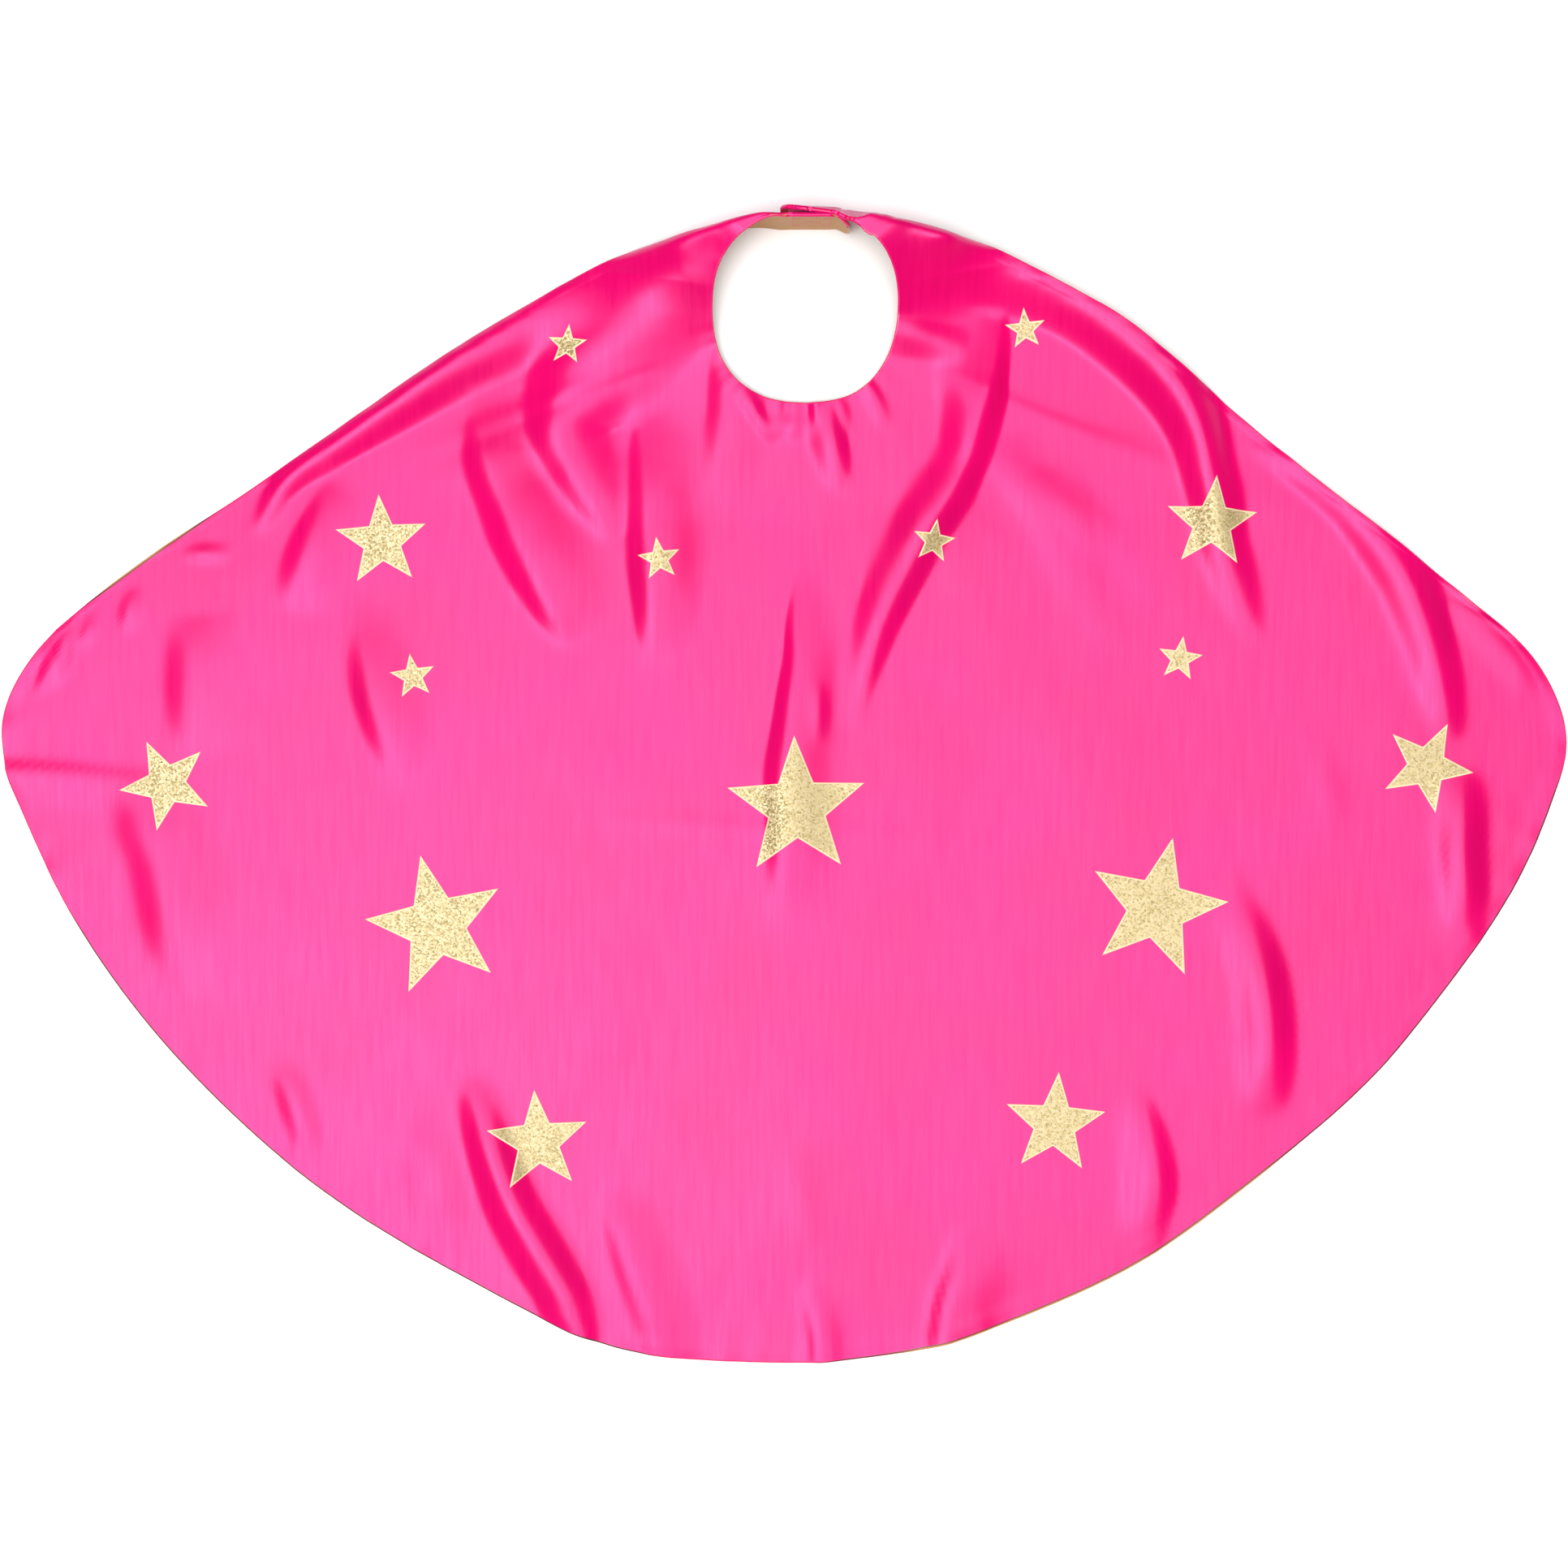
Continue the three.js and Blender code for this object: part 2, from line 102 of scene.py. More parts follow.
TAB_HEIGHT = 45 * MM
TAB_FOOT = 8 * MM  # distance in plan between a tab's two edges at its root
TAB_END_RADIUS = 12 * MM
TAB_STRAIGHT = 39 * MM
INNER_ROOT = math.radians(133)  # direction of each tab's root from the neck's centre
OUTER_ROOT = math.radians(41 + 360)
HEM_SIDE = math.radians(270)
INNER_TAB_END = np.array([38 * MM, 337.95 * MM])
OUTER_TAB_END = np.array([-1 * MM, 344 * MM])
TABS = ("inner_tab", "outer_tab")
PATCH_RIGHT = 30.5 * MM  # the hook and loop patches end here
PATCH_CORNER = 2 * MM
PATCH_MARGIN = 1.2 * MM  # edge of a patch to its first hooks or loops

LINING_FACE = 0.1 * MM  # outer face of the lining, above the underside of the cape
SHELL_FACE = 1.3 * MM  # outer face of the shell

# The outer edge, from the root of the inner tab by the left side, the hem and the right side to
# the root of the outer tab, as shares of half the width and half the length.
EDGE_POINTS = [
    (-0.11, 0.957), (-0.17, 0.937), (-0.267, 0.889), (-0.407, 0.784),
    (-0.71, 0.502), (-0.832, 0.386), (-0.938, 0.268), (-0.991, 0.161),
    (-1, 0.07), (-0.981, -0.029), (-0.907, -0.236), (-0.78, -0.465),
    (-0.6, -0.69), (-0.396, -0.861), (-0.214, -0.974), (-0.02, -1),
    (0.128, -0.987), (0.252, -0.945), (0.439, -0.835), (0.591, -0.69),
    (0.739, -0.52), (0.845, -0.349), (0.93, -0.179), (0.981, -0.023),
    (1, 0.095), (0.964, 0.219), (0.877, 0.331), (0.665, 0.557),
    (0.519, 0.728), (0.417, 0.832), (0.254, 0.929), (0.167, 0.957),
]

# How far the laid cloth's edge lies outside the frame's (mm), by direction from the neck's centre.
SETTLED_EDGE = [(133, 3.2), (144, 5), (150, 6.4), (156, 5.6), (162, 5.2), (168, 4), (174, 0.5),
                (180, -3), (190, -3.3), (198, -4), (204, 0), (214, -2), (226, -1), (250, 0),
                (330, 0), (342, 0.5), (348, -2), (354, -3), (360, 0), (366, 4), (372, 7),
                (378, 8), (384, 9), (390, 11), (396, 12), (401, 12)]
SETTLED_NECK = [(133, 0), (150, 0.3), (168, 1.2), (200, 2.2), (230, 2.8), (260, 2), (300, 2),
                (325, 0.8), (360, 0.8), (401, 0)]

# The folds, in millimetres. Each has the width of its flank on the -X (or -Y) side, the width of
# its flank on the +X (or +Y) side, and its crest as points (x, y, height), listed towards the hem
# or towards +X. A width is one number, or one for each point. A narrow flank is steep.
FOLDS = {
    # left shoulder
    "left shoulder slope": ([36, 46, 56, 56, 44, 30, 24, 21, 19, 15, 10],
        [40, 50, 55, 55, 50, 46, 45, 40, 35, 28, 18], [
        (-40, 326, 5), (-58, 316, 9), (-80, 298, 12), (-102, 274, 13), (-121, 250, 11.5),
        (-134, 230, 10), (-135, 212, 9), (-128, 196, 8), (-119, 180, 6), (-111, 167, 3.4),
        (-103, 150, 0)]),
    "left edge swell": ([12, 12, 12, 12, 12, 12, 11, 11, 10, 10, 9, 8],
        [30, 30, 30, 28, 24, 21, 19, 17, 15, 13, 11, 9], [
        (-112, 309, 0), (-132, 298, 5), (-155, 284, 8.5), (-180, 269, 9.5), (-205, 253, 9.5),
        (-228, 237, 9), (-250, 222, 8), (-270, 208, 7), (-290, 195, 6), (-303, 183, 4.8),
        (-310, 170, 3), (-317, 154, 0)]),
    "left long fold": ([10, 13, 16, 18, 20, 21, 21, 20, 18, 16, 14, 12],
        46, [
        (-188, 246, 0), (-184, 228, 1.4), (-181, 214, 3.5), (-179, 200, 5.5), (-173, 184, 6.8),
        (-165, 165, 7.2), (-159, 150, 7.2), (-152, 135, 6.8), (-146, 122, 6), (-139, 108, 4.6),
        (-133, 97, 2.6), (-126, 84, 0)]),
    "left inner fold": ([8, 11, 14, 17, 18, 19, 18, 17, 14, 12],
        42, [
        (-88, 250, 0), (-86, 228, 1.4), (-84, 206, 3.6), (-82, 182, 5.6), (-81, 160, 6.2),
        (-80, 138, 6.2), (-79, 118, 5.6), (-79, 100, 4.4), (-81, 82, 2), (-84, 62, 0)]),
    "neck left fold": ([12, 16, 18, 18, 18, 16, 14],
        34, [
        (-44, 290, 0), (-38, 268, 1.6), (-34, 248, 3.6), (-34, 230, 3.8), (-36, 212, 3.4),
        (-40, 190, 2), (-45, 162, 0)]),
    "left edge pleat": (17, 34, [
        (-271, 200, 0), (-272, 186, 1.4), (-276, 170, 3.4), (-284, 151, 4.4), (-290, 134, 3.6),
        (-297, 108, 0)]),
    "left pleat": (18, 40, [
        (-251, 122, 0), (-251, 100, 1.4), (-250, 78, 3.4), (-247, 58, 4.6), (-241, 38, 4.4),
        (-234, 20, 2.4), (-226, -6, 0)]),
    # below the neck
    "pucker 1": (5, 8, [(-26, 240, 1), (-20, 230, 2), (-12, 217, 1.4), (-6, 206, 0)]),
    "pucker 2": (6, 8, [(6, 238, 1), (6, 224, 1), (4, 208, 0)]),
    "pucker 3": (3, 4, [(18, 240, 1.8), (18.5, 230, 1.6), (19, 220, 0)]),
    "pucker 4": ([9, 16, 18, 12],
        12, [
        (24, 238, 1.4), (26, 222, 3.2), (30, 204, 3.8), (34, 178, 0)]),
    "pucker 5": (5, 7, [(34, 240, 1.4), (36, 226, 1.2), (39, 212, 0)]),
    "pucker 6": (8, 9, [(50, 244, 1), (56, 230, 1.2), (62, 214, 0)]),
    "pucker 7": (6, 8, [(-5, 238, 1), (-4, 226, 1), (-4, 212, 0)]),
    "neck dip": (10, 10, [(-18, 219, 0), (0, 218, 1.2), (22, 218, 0)]),
    "centre streak": (6, 9, [(20, 66, 0), (20, 48, 1.2), (19, 28, 0)]),
    # the long fold from the right of the neck
    "right drape": ([30, 40, 44, 40, 30, 25, 24, 25, 25, 25, 24, 22, 20, 16, 12],
        [7, 9, 12, 14, 15, 16, 16, 17, 18, 18, 17, 15, 13, 11, 9], [
        (131, 292, 0), (129, 272, 3), (126, 254, 6.5), (122, 238, 8.6), (117, 222, 9),
        (111, 203, 8.4), (104, 187, 8), (96, 174, 7.8), (84, 157, 7.6), (73, 134, 7),
        (65, 117, 6.2), (57, 99, 5.4), (51, 79, 4), (46, 58, 2), (42, 34, 0)]),
    "right neck ridge": (17, 14, [(60, 273, 2), (76, 273, 3.4), (94, 270, 3), (112, 268, 0)]),
    "right soft 1": (24, 26, [
        (138, 216, 0), (144, 186, 2), (165, 150, 2), (185, 112, 1.6), (206, 76, 0)]),
    "right soft 2": (18, 20, [(158, 196, 0), (176, 168, 1.6), (195, 144, 0)]),
    # right shoulder
    "right shoulder crest": ([32, 36, 38, 36, 32, 29, 28, 27, 25, 23, 21, 20, 19, 18, 16, 12],
        [60, 70, 70, 60, 50, 45, 40, 34, 25, 20, 19, 20, 20, 20, 16, 12], [
        (76, 333, 6), (92, 330, 12), (112, 325, 14.5), (135, 317, 15), (158, 306, 14.5),
        (182, 292, 14), (206, 274, 14), (226, 255, 13.5), (241, 235, 12.5), (250, 215, 11),
        (255, 195, 9.5), (259, 175, 8), (263, 150, 6), (270, 128, 4), (279, 105, 2),
        (289, 82, 0)]),
    "right side fold": ([13, 14, 16, 18, 21, 23, 23, 22, 20, 16, 12],
        [40, 50, 50, 44, 34, 23, 20, 18, 16, 13, 10], [
        (284, 212, 0), (306, 196, 3.4), (326, 182, 5), (343, 168, 6.4), (359, 150, 7.4),
        (374, 127, 7.6), (382, 109, 7.2), (389, 90, 6.6), (395, 68, 5.4), (399, 48, 3.2),
        (402, 28, 0)]),
    "right corner fold": (16, 22, [
        (404, 120, 0), (414, 106, 1.8), (428, 90, 2.2), (442, 74, 1.8), (452, 56, 0)]),
    "right edge fold": (20, 17, [
        (407, 14, 0), (408, -10, 4.4), (408, -35, 6), (409, -58, 5.4), (409, -82, 2.6),
        (408, -106, 0)]),
    "right soft 3": (14, 20, [(320, 40, 0), (324, 6, 1.2), (336, -36, 0)]),
    # centre and lower right
    "centre fold": ([6, 8, 10, 11, 12, 14, 15, 14, 14, 14, 12],
        38, [
        (11, 152, 0), (9.5, 126, 1.3), (8, 102, 3.2), (8, 80, 4.4), (5.5, 60, 5), (2.5, 31, 5.4),
        (0, 9, 5.4), (0, -16, 4.8), (0, -38, 3.6), (-1, -62, 1.6), (0, -84, 0)]),
    "lower right fold": (24, 18, [
        (262, -44, 0), (272, -68, 1.4), (282, -92, 3.4), (289, -118, 5.4), (292, -144, 5.8),
        (292, -168, 4.6), (291, -200, 0)]),
    "hem right fold": (30, 15, [
        (206, -168, 0), (216, -196, 2.8), (222, -218, 4.2), (225, -240, 4.6), (222, -260, 3.2),
        (217, -282, 0)]),
    "hem right pleat": (15, 44, [
        (114, -262, 0), (107, -290, 3.8), (100, -312, 4.8), (96, -336, 4.2)]),
    "hem centre pleat": (9, 20, [(16, -294, 0), (18, -312, 2.2), (21, -330, 3), (23, -345, 3)]),
    "hem centre soft": (16, 20, [(2, -215, 0), (10, -245, 1.2), (20, -276, 0)]),
    # lower left
    "hem left fold": ([12, 16, 18, 20, 22, 21, 19, 13],
        [14, 17, 19, 20, 21, 20, 17, 11], [
        (-190, -172, 0), (-183, -196, 4), (-176, -220, 6.5), (-164, -250, 8), (-147, -280, 8.2),
        (-133, -304, 7.2), (-126, -321, 5.4), (-122, -334, 4)]),
    "hem left soft": (15, 30, [
        (-108, -240, 0), (-99, -264, 2.4), (-91, -290, 3.2), (-81, -318, 3), (-74, -340, 2)]),
    "left rim pleat": (15, 14, [
        (-306, -160, 0), (-297, -182, 2.8), (-290, -204, 2.4), (-284, -230, 0)]),
    "left soft": (26, 48, [
        (-386, 14, 0), (-384, -20, 3.2), (-376, -44, 4), (-370, -76, 4), (-365, -104, 2),
        (-360, -128, 0)]),
    "hem left wash": (26, 30, [(-222, -196, 0), (-214, -228, 2), (-208, -262, 1)]),
    # left corner
    "left corner soft": (22, 44, [(-358, 106, 0), (-357, 80, 3), (-357, 50, 3), (-352, 18, 0)]),
    "left corner streak": (6, 9, [(-366, 143, 0), (-350, 142, 2), (-332, 141, 0)]),
    "left corner pleat": (7, 12, [(-394, 124, 0), (-395, 110, 2), (-396, 94, 0)]),
    "corner crinkle 1": (6, 8, [(-434, 104, 0), (-434, 90, 2.4), (-436, 76, 1.8), (-441, 62, 0)]),
    "corner crinkle 2": (5, 8, [(-421, 106, 0), (-420, 96, 1.6), (-425, 86, 0)]),
    "corner crinkle 3": (5, 6, [(-447, 90, 0), (-442, 79, 1.8), (-446, 66, 1.2), (-452, 54, 0)]),
    # creases left by folding the cape flat
    "left press crease": (26, 5, [
        (-471, 13, 2.4), (-436, 11.5, 2.2), (-405, 8.5, 1.4), (-376, 7, 0)]),
    "centre press crease": (4, 9, [(-132, -16, 0), (-60, -22, 0.4), (30, -28, 0.4), (122, -30, 0)]),
    "left press line": (4, 5, [(-167, 46, 0), (-167, 5, 0.3), (-167, -34, 0)]),
    "right press line": (4, 5, [(326, 103, 0), (336, 115, 0.35), (347, 127, 0)]),
}

# How far the top edge of the outer tab leans towards the neck, at places along +X (mm, mm).
OUTER_TAB_LEAN = [(2, 0.9), (15, 2.8), (30, 4.8), (38, 8.4), (43.2, 8.8), (47.2, 6.6),
                  (50.6, 3.4), (54.2, 1.6), (60, 0)]
# How far its foot spreads away from the neck between the patches and the root (mm, mm).
OUTER_TAB_SPREAD = [(31, 0), (38, 5.2), (44, 4.4), (50, 3.4), (60, 2.2), (69, 1)]
INNER_TAB_CURL = 4.6 * MM  # how far the end of the inner tab turns towards the neck

# Stretches of the outer edge, as shares of its length, where the seam's dark line of painted shade
# or the lining shows.
SEAM_SHOWS = [(0.27, 0.485), (0.505, 0.78)]
LINING_SHOWS = [(0.145, 0.20), (0.525, 0.655)]

# Steps of the cloth grid.
MAIN_COLUMNS = 620
TAB_COLUMNS = 64
OUT_RINGS = 146
RIM_RINGS = [9, 6, 3.5, 1.6, 0]  # distances in from the outer edge, mm
ROLL_STEPS = 8  # across a rolled edge


def linear(code):
    """An sRGB hex colour as linear red, green and blue."""
    shares = [int(code[i : i + 2], 16) / 255 for i in (1, 3, 5)]
    return tuple(s / 12.92 if s <= 0.04045 else ((s + 0.055) / 1.055) ** 2.4 for s in shares)


def smooth(value, low, high):
    """0 below low, 1 above high and a soft step between."""
    share = np.clip((value - low) / (high - low), 0, 1)
    return share * share * (3 - 2 * share)


# ---------------------------------------------------------------- outlines in plan


def spline(points, samples):
    """Points along a smooth curve through the given ones."""
    points = np.asarray(points, float)
    last = len(points) - 1
    place = np.linspace(0, last, samples)
    at = np.minimum(place.astype(int), last - 1)
    t = (place - at)[:, None]
    p1, p2 = points[at], points[at + 1]
    slope1 = (p2 - points[np.maximum(at - 1, 0)]) / 2
    slope2 = (points[np.minimum(at + 2, last)] - p1) / 2
    cubic = (2 * p1 - 2 * p2 + slope1 + slope2) * t**3
    square = (3 * p2 - 3 * p1 - 2 * slope1 - slope2) * t**2
    return cubic + square + slope1 * t + p1


def lengths_along(line):
    """Distance from the start of a line to each of its points."""
    steps = np.linalg.norm(np.diff(line, axis=0), axis=1)
    return np.concatenate([[0], np.cumsum(steps)])


def neck_radius(angle):
    reach = np.where(np.sin(angle) < 0, NECK_TO_HEM, NECK_TO_TABS)
    across = np.abs(np.cos(angle)) / NECK_HALF_WIDTH
    along = np.abs(np.sin(angle)) / reach
    total = across**NECK_SQUARENESS + along**NECK_SQUARENESS
    return total ** (-1 / NECK_SQUARENESS)


def plan_point(angle, radius):
    ray = np.stack([np.cos(angle), np.sin(angle)], -1)
    return NECK_CENTRE + ray * np.asarray(radius)[..., None]


@functools.lru_cache
def outer_edge():
    """Angles from the neck's centre, radii and lengths along the outer edge."""
    inset = np.array([HALF_WIDTH - EDGE_REACH, HALF_LENGTH - EDGE_REACH])
    points = [np.array(p) * inset for p in EDGE_POINTS]
    first = plan_point(INNER_ROOT, neck_radius(INNER_ROOT) + TAB_FOOT)
    last = plan_point(OUTER_ROOT, neck_radius(OUTER_ROOT) + TAB_FOOT)
    line = spline([first, *points, last], 4000)
    arm = line - NECK_CENTRE
    turned = (np.arctan2(arm[:, 1], arm[:, 0]) - INNER_ROOT + 1e-6) % (2 * math.pi)
    angle = np.maximum.accumulate(turned + INNER_ROOT - 1e-6)
    return angle, np.linalg.norm(arm, axis=1), lengths_along(line)


def edge_radius(angle):
    angles, radii, _ = outer_edge()
    return np.interp(angle, angles, radii)


# ---------------------------------------------------------------- the relief of the main panel


def ridge(distance, width):
    return 0.5 + 0.5 * np.cos(math.pi * np.clip(distance / width, 0, 1))


def soft_noise(shape, cells, seed):
    """Smooth random heights of mean size 1, whose bumps are about that many cells across."""
    cells = np.broadcast_to(cells, (len(shape),))
    spectrum = np.fft.fftn(np.random.default_rng(seed).standard_normal(shape))
    for axis, size in enumerate(shape):
        rate = np.fft.fftfreq(size).reshape([-1 if i == axis else 1 for i in range(len(shape))])
        spectrum *= np.exp(-((rate * cells[axis] * 1.6) ** 2) * 2)
    noise = np.fft.ifftn(spectrum).real
    return (noise - noise.mean()) / noise.std()


class Relief:
    """Heights of the folds on a raster of 1 mm cells."""

    MARGIN = 12

    def __init__(self):
        self.low = np.array([-HALF_WIDTH, -HALF_LENGTH]) / MM - self.MARGIN
        size = 2 * np.array([HALF_WIDTH, HALF_LENGTH]) / MM + 2 * self.MARGIN
        self.shape = tuple(np.ceil(size).astype(int) + 1)
        self.heights = np.zeros(self.shape)
        for minus, plus, crest in FOLDS.values():
            widths = [np.broadcast_to(np.array(w, float), len(crest)) for w in (minus, plus)]
            self.add_fold(np.column_stack([crest, *widths]))
        self.soften(1.3)
        self.heights += 0.55 * soft_noise(self.shape, 70, 3)
        self.heights += 0.07 * soft_noise(self.shape, 18, 4)
        self.heights += 0.012 * soft_noise(self.shape, 6, 5)

    def add_fold(self, crest):
        """Adds one fold: rows of x, y, height, and the flank's width on either side."""
        crest = spline(crest, 5 * len(crest))
        reach = crest[:, 3:].max()
        first = np.maximum(np.floor(crest[:, :2].min(0) - reach - self.low), 0).astype(int)
        last = np.minimum(np.ceil(crest[:, :2].max(0) + reach - self.low), np.array(self.shape) - 1)
        last = last.astype(int)
        xs = np.arange(first[0], last[0] + 1) + self.low[0]
        ys = np.arange(first[1], last[1] + 1) + self.low[1]
        at = np.stack(np.meshgrid(xs, ys, indexing="ij"), -1)
        nearest = np.full(at.shape[:2], np.inf)
        facts = np.zeros((*at.shape[:2], 3))
        plus_share = np.zeros(at.shape[:2])
        for start, end in zip(crest[:-1], crest[1:]):
            run = end[:2] - start[:2]
            arm = at - start[:2]
            share = np.clip(arm @ run / (run @ run), 0, 1)[..., None]
            away = arm - share * run
            distance = np.hypot(away[..., 0], away[..., 1])
            side = (run[0] * away[..., 1] - run[1] * away[..., 0]) / np.hypot(*run)
            closer = distance < nearest
            nearest = np.where(closer, distance, nearest)
            facts = np.where(closer[..., None], start[2:] + share * (end[2:] - start[2:]), facts)
            # a soft change of side, so that the widths don't jump past the crest's ends
            turned = smooth(side / np.maximum(distance, 1e-6), -0.6, 0.6)
            plus_share = np.where(closer, turned, plus_share)
        height, minus, plus = np.moveaxis(facts, 2, 0)
        width = minus + (plus - minus) * plus_share
        patch = self.heights[first[0] : last[0] + 1, first[1] : last[1] + 1]
        patch += np.maximum(height, 0) * ridge(nearest, width)

    def soften(self, cells):
        spectrum = np.fft.rfft2(self.heights)
        across = np.fft.fftfreq(self.shape[0])[:, None]
        along = np.fft.rfftfreq(self.shape[1])[None, :]
        spectrum *= np.exp(-2 * (math.pi * cells) ** 2 * (across**2 + along**2))
        self.heights = np.fft.irfft2(spectrum, self.shape)

    def at(self, plan):
        """Height in metres at places in plan, in metres."""
        place = np.clip(plan / MM - self.low, 0, np.array(self.shape) - 1.001)
        cell = place.astype(int)
        x, y = (place - cell)[..., 0], (place - cell)[..., 1]
        i, j = cell[..., 0], cell[..., 1]
        h = self.heights
        near = h[i, j] * (1 - x) + h[i + 1, j] * x
        far = h[i, j + 1] * (1 - x) + h[i + 1, j + 1] * x
        return (near * (1 - y) + far * y) * MM


# ---------------------------------------------------------------- the strip of cloth


def near_tabs(angle):
    """0 at the neck's hem side and 1 at the roots of the tabs."""
    root = np.where(angle < HEM_SIDE, INNER_ROOT, OUTER_ROOT)
    return (1 - np.cos(angle - HEM_SIDE)) / (1 - np.cos(root - HEM_SIDE))


def collar_height(angle, distance, reach):
    """Height of the raised neck, at a distance out from the neck edge of the reach there."""
    near = near_tabs(angle)
    top = TAB_HEIGHT - EDGE_REACH
    climb = 1 - (1 - near**NECK_STEEPNESS) ** NECK_LEVELLING
    rise = NECK_HEM_SIDE_RISE + (top - NECK_HEM_SIDE_RISE) * climb
    share = np.clip(distance / np.minimum(reach, NECK_SPREAD), 0, 1)
    # the cloth bulges next to the tabs, where it drops over its edge, and sags in front of them
    bulge = smooth(near, 0.55, 0.92)
    wide = smooth(reach, 40 * MM, NECK_SPREAD)
    full = (1 - share**8) * (1 - wide) + 0.5 * (1 + np.cos(math.pi * share**1.5)) * wide
    profile = (1 - share) ** 1.5 * (1 - bulge) + full * bulge
    return rise * profile + EDGE_REACH * smooth(near, 0.5, 1) * share


def settled(angle, table):
    """How far the laid cloth lies outside the frame's outline at these directions."""
    curve = spline(table, 600)
    return np.interp(np.degrees(angle), curve[:, 0], curve[:, 1]) * MM


def column_angles():
    """Ray directions by a mean of even angles at the neck and even lengths at the outer edge."""
    angle, _, length = outer_edge()
    turned = (angle - INNER_ROOT) / (OUTER_ROOT - INNER_ROOT)
    share = (turned + length / length[-1]) / 2
    angles = np.interp(np.linspace(0, 1, MAIN_COLUMNS + 1), share, angle)
    angles[0], angles[-1] = INNER_ROOT, OUTER_ROOT
    return angles


def ring_distances(reach):
    """Distances out from the neck edge for one column, closer together near its two edges."""
    rim = min(RIM_RINGS[0] * MM, 0.3 * reach)
    out = np.linspace(0, 1, OUT_RINGS - len(RIM_RINGS) + 1) ** 1.2 * (reach - rim)
    return np.concatenate([out, reach - np.array(RIM_RINGS[1:]) / RIM_RINGS[0] * rim])


def main_panel_points(fold_height):
    angles = column_angles()
    neck = neck_radius(angles) + settled(angles, SETTLED_NECK)
    reach = edge_radius(angles) + settled(angles, SETTLED_EDGE) - neck
    distance = np.array([ring_distances(r) for r in reach])
    turned = np.repeat(angles[:, None], distance.shape[1], 1)
    plan = plan_point(turned, neck[:, None] + distance)
    rim = reach[:, None] - distance
    # folds fade out towards the roots of the tabs, where the cloth is steep
    roots = [plan[0].mean(0), plan[-1].mean(0)]
    near = np.min([np.linalg.norm(plan - root, axis=2) for root in roots], 0)
    free = smooth(near, 8 * MM, 42 * MM)
    drape = soft_noise(distance.shape, (16, 70), 11) * smooth(distance, 20 * MM, 120 * MM)
    length = lengths_along(plan[:, -1])
    steps = int(length[-1] / MM)
    pucker = np.interp(length / MM, np.arange(steps), soft_noise((steps,), 9, 12))
    neck_length = lengths_along(plan[:, 0])
    neck_steps = int(neck_length[-1] / MM) + 1
    neck_noise = soft_noise((neck_steps,), 5, 13)
    neck_pucker = np.interp(neck_length / MM, np.arange(neck_steps), neck_noise)
    height = Relief().at(plan)
    height += (0.18 + 0.25 * (1 - smooth(distance, 90 * MM, 300 * MM))) * MM * drape
    height += 0.3 * MM * pucker[:, None] * np.exp(-rim / (9 * MM))
    height += 0.28 * MM * neck_pucker[:, None] * np.exp(-distance / (7 * MM))
    # the seam allowance inside the edge lifts the shell a little
    height += 0.3 * MM * (1 - smooth(rim, 7 * MM, 10 * MM))
    height *= free * fold_height
    lifted = 0.5 * (height + np.hypot(height, 0.6 * MM)) - 0.3 * MM * (1 - free)
    rest = collar_height(turned, distance, reach[:, None])
    return np.dstack([plan, rest + np.maximum(lifted, 0)])


def tab_line(root, before_root, end):
    """One edge of a tab in plan: a bend on from the main panel's edge, then a straight."""
    run = math.copysign(1, end[0] - root[0])
    straight = np.array([end[0] - run * TAB_STRAIGHT, end[1]])
    reach = np.linalg.norm(root - straight) / 3
    direction = (root - before_root) / np.linalg.norm(root - before_root)
    handle1 = root + direction * reach
    handle2 = straight - np.array([run * reach, 0])
    t = np.linspace(0, 1, 120)[:, None]
    start_part = root * (1 - t) ** 3 + handle1 * 3 * t * (1 - t) ** 2
    bend = start_part + handle2 * 3 * t**2 * (1 - t) + straight * t**3
    return np.concatenate([bend, straight + (end - straight) * t[1:]])


def tab_points(root_column, before_root, turn, end, seed):
    """Columns of a tab from its root, without the root's own, to its end."""
    neck_line, foot_line = (tab_line(root_column[k, :2], before_root[k, :2], end) for k in (0, -1))
    neck_share, foot_share = (lengths_along(line) / lengths_along(line)[-1]
                              for line in (neck_line, foot_line))
    length = lengths_along(neck_line)[-1]
    share = np.linspace(0, 1, TAB_COLUMNS + 1)[1:]
    share = 1 - (1 - share) ** 1.25  # closer columns round the end
    from_end = (1 - share) * length
    into = np.maximum(TAB_END_RADIUS - from_end, 0)
    inset = TAB_END_RADIUS - np.sqrt(TAB_END_RADIUS**2 - into**2)
    high = np.stack([np.interp(share, neck_share, neck_line[:, k]) for k in (0, 1)], -1)
    low = np.stack([np.interp(share, foot_share, foot_line[:, k]) for k in (0, 1)], -1)
    top, foot = root_column[0, 2], root_column[-1, 2]
    down = (top - root_column[:, 2]) / (top - foot)
    height = (top - inset)[:, None] - (top - foot - 2 * inset)[:, None] * down
    out = np.linalg.norm(root_column[:, :2] - root_column[0, :2], axis=1)
    out = (out / out[-1])[None, :, None]
    plan = high[:, None] * (1 - out) + low[:, None] * out
    beyond_root = smooth(share, 0, 0.1)[:, None]
    plan[..., 1] -= lean_of(plan[..., 0], height, turn) * beyond_root
    if turn > 0:
        places, spreads = np.array(OUTER_TAB_SPREAD).T * MM
        low = 1 - height / TAB_HEIGHT
        plan[..., 1] += np.interp(plan[..., 0], places, spreads) * low * beyond_root
    waves = soft_noise(height.shape, (9, 60), seed) * 0.35 * MM
    past_patch = smooth(np.abs(plan[..., 0] - 16.5 * MM), 12 * MM, 22 * MM)
    plan[..., 1] += waves * past_patch * smooth(share, 0, 0.25)[:, None]
    return np.dstack([plan, height])


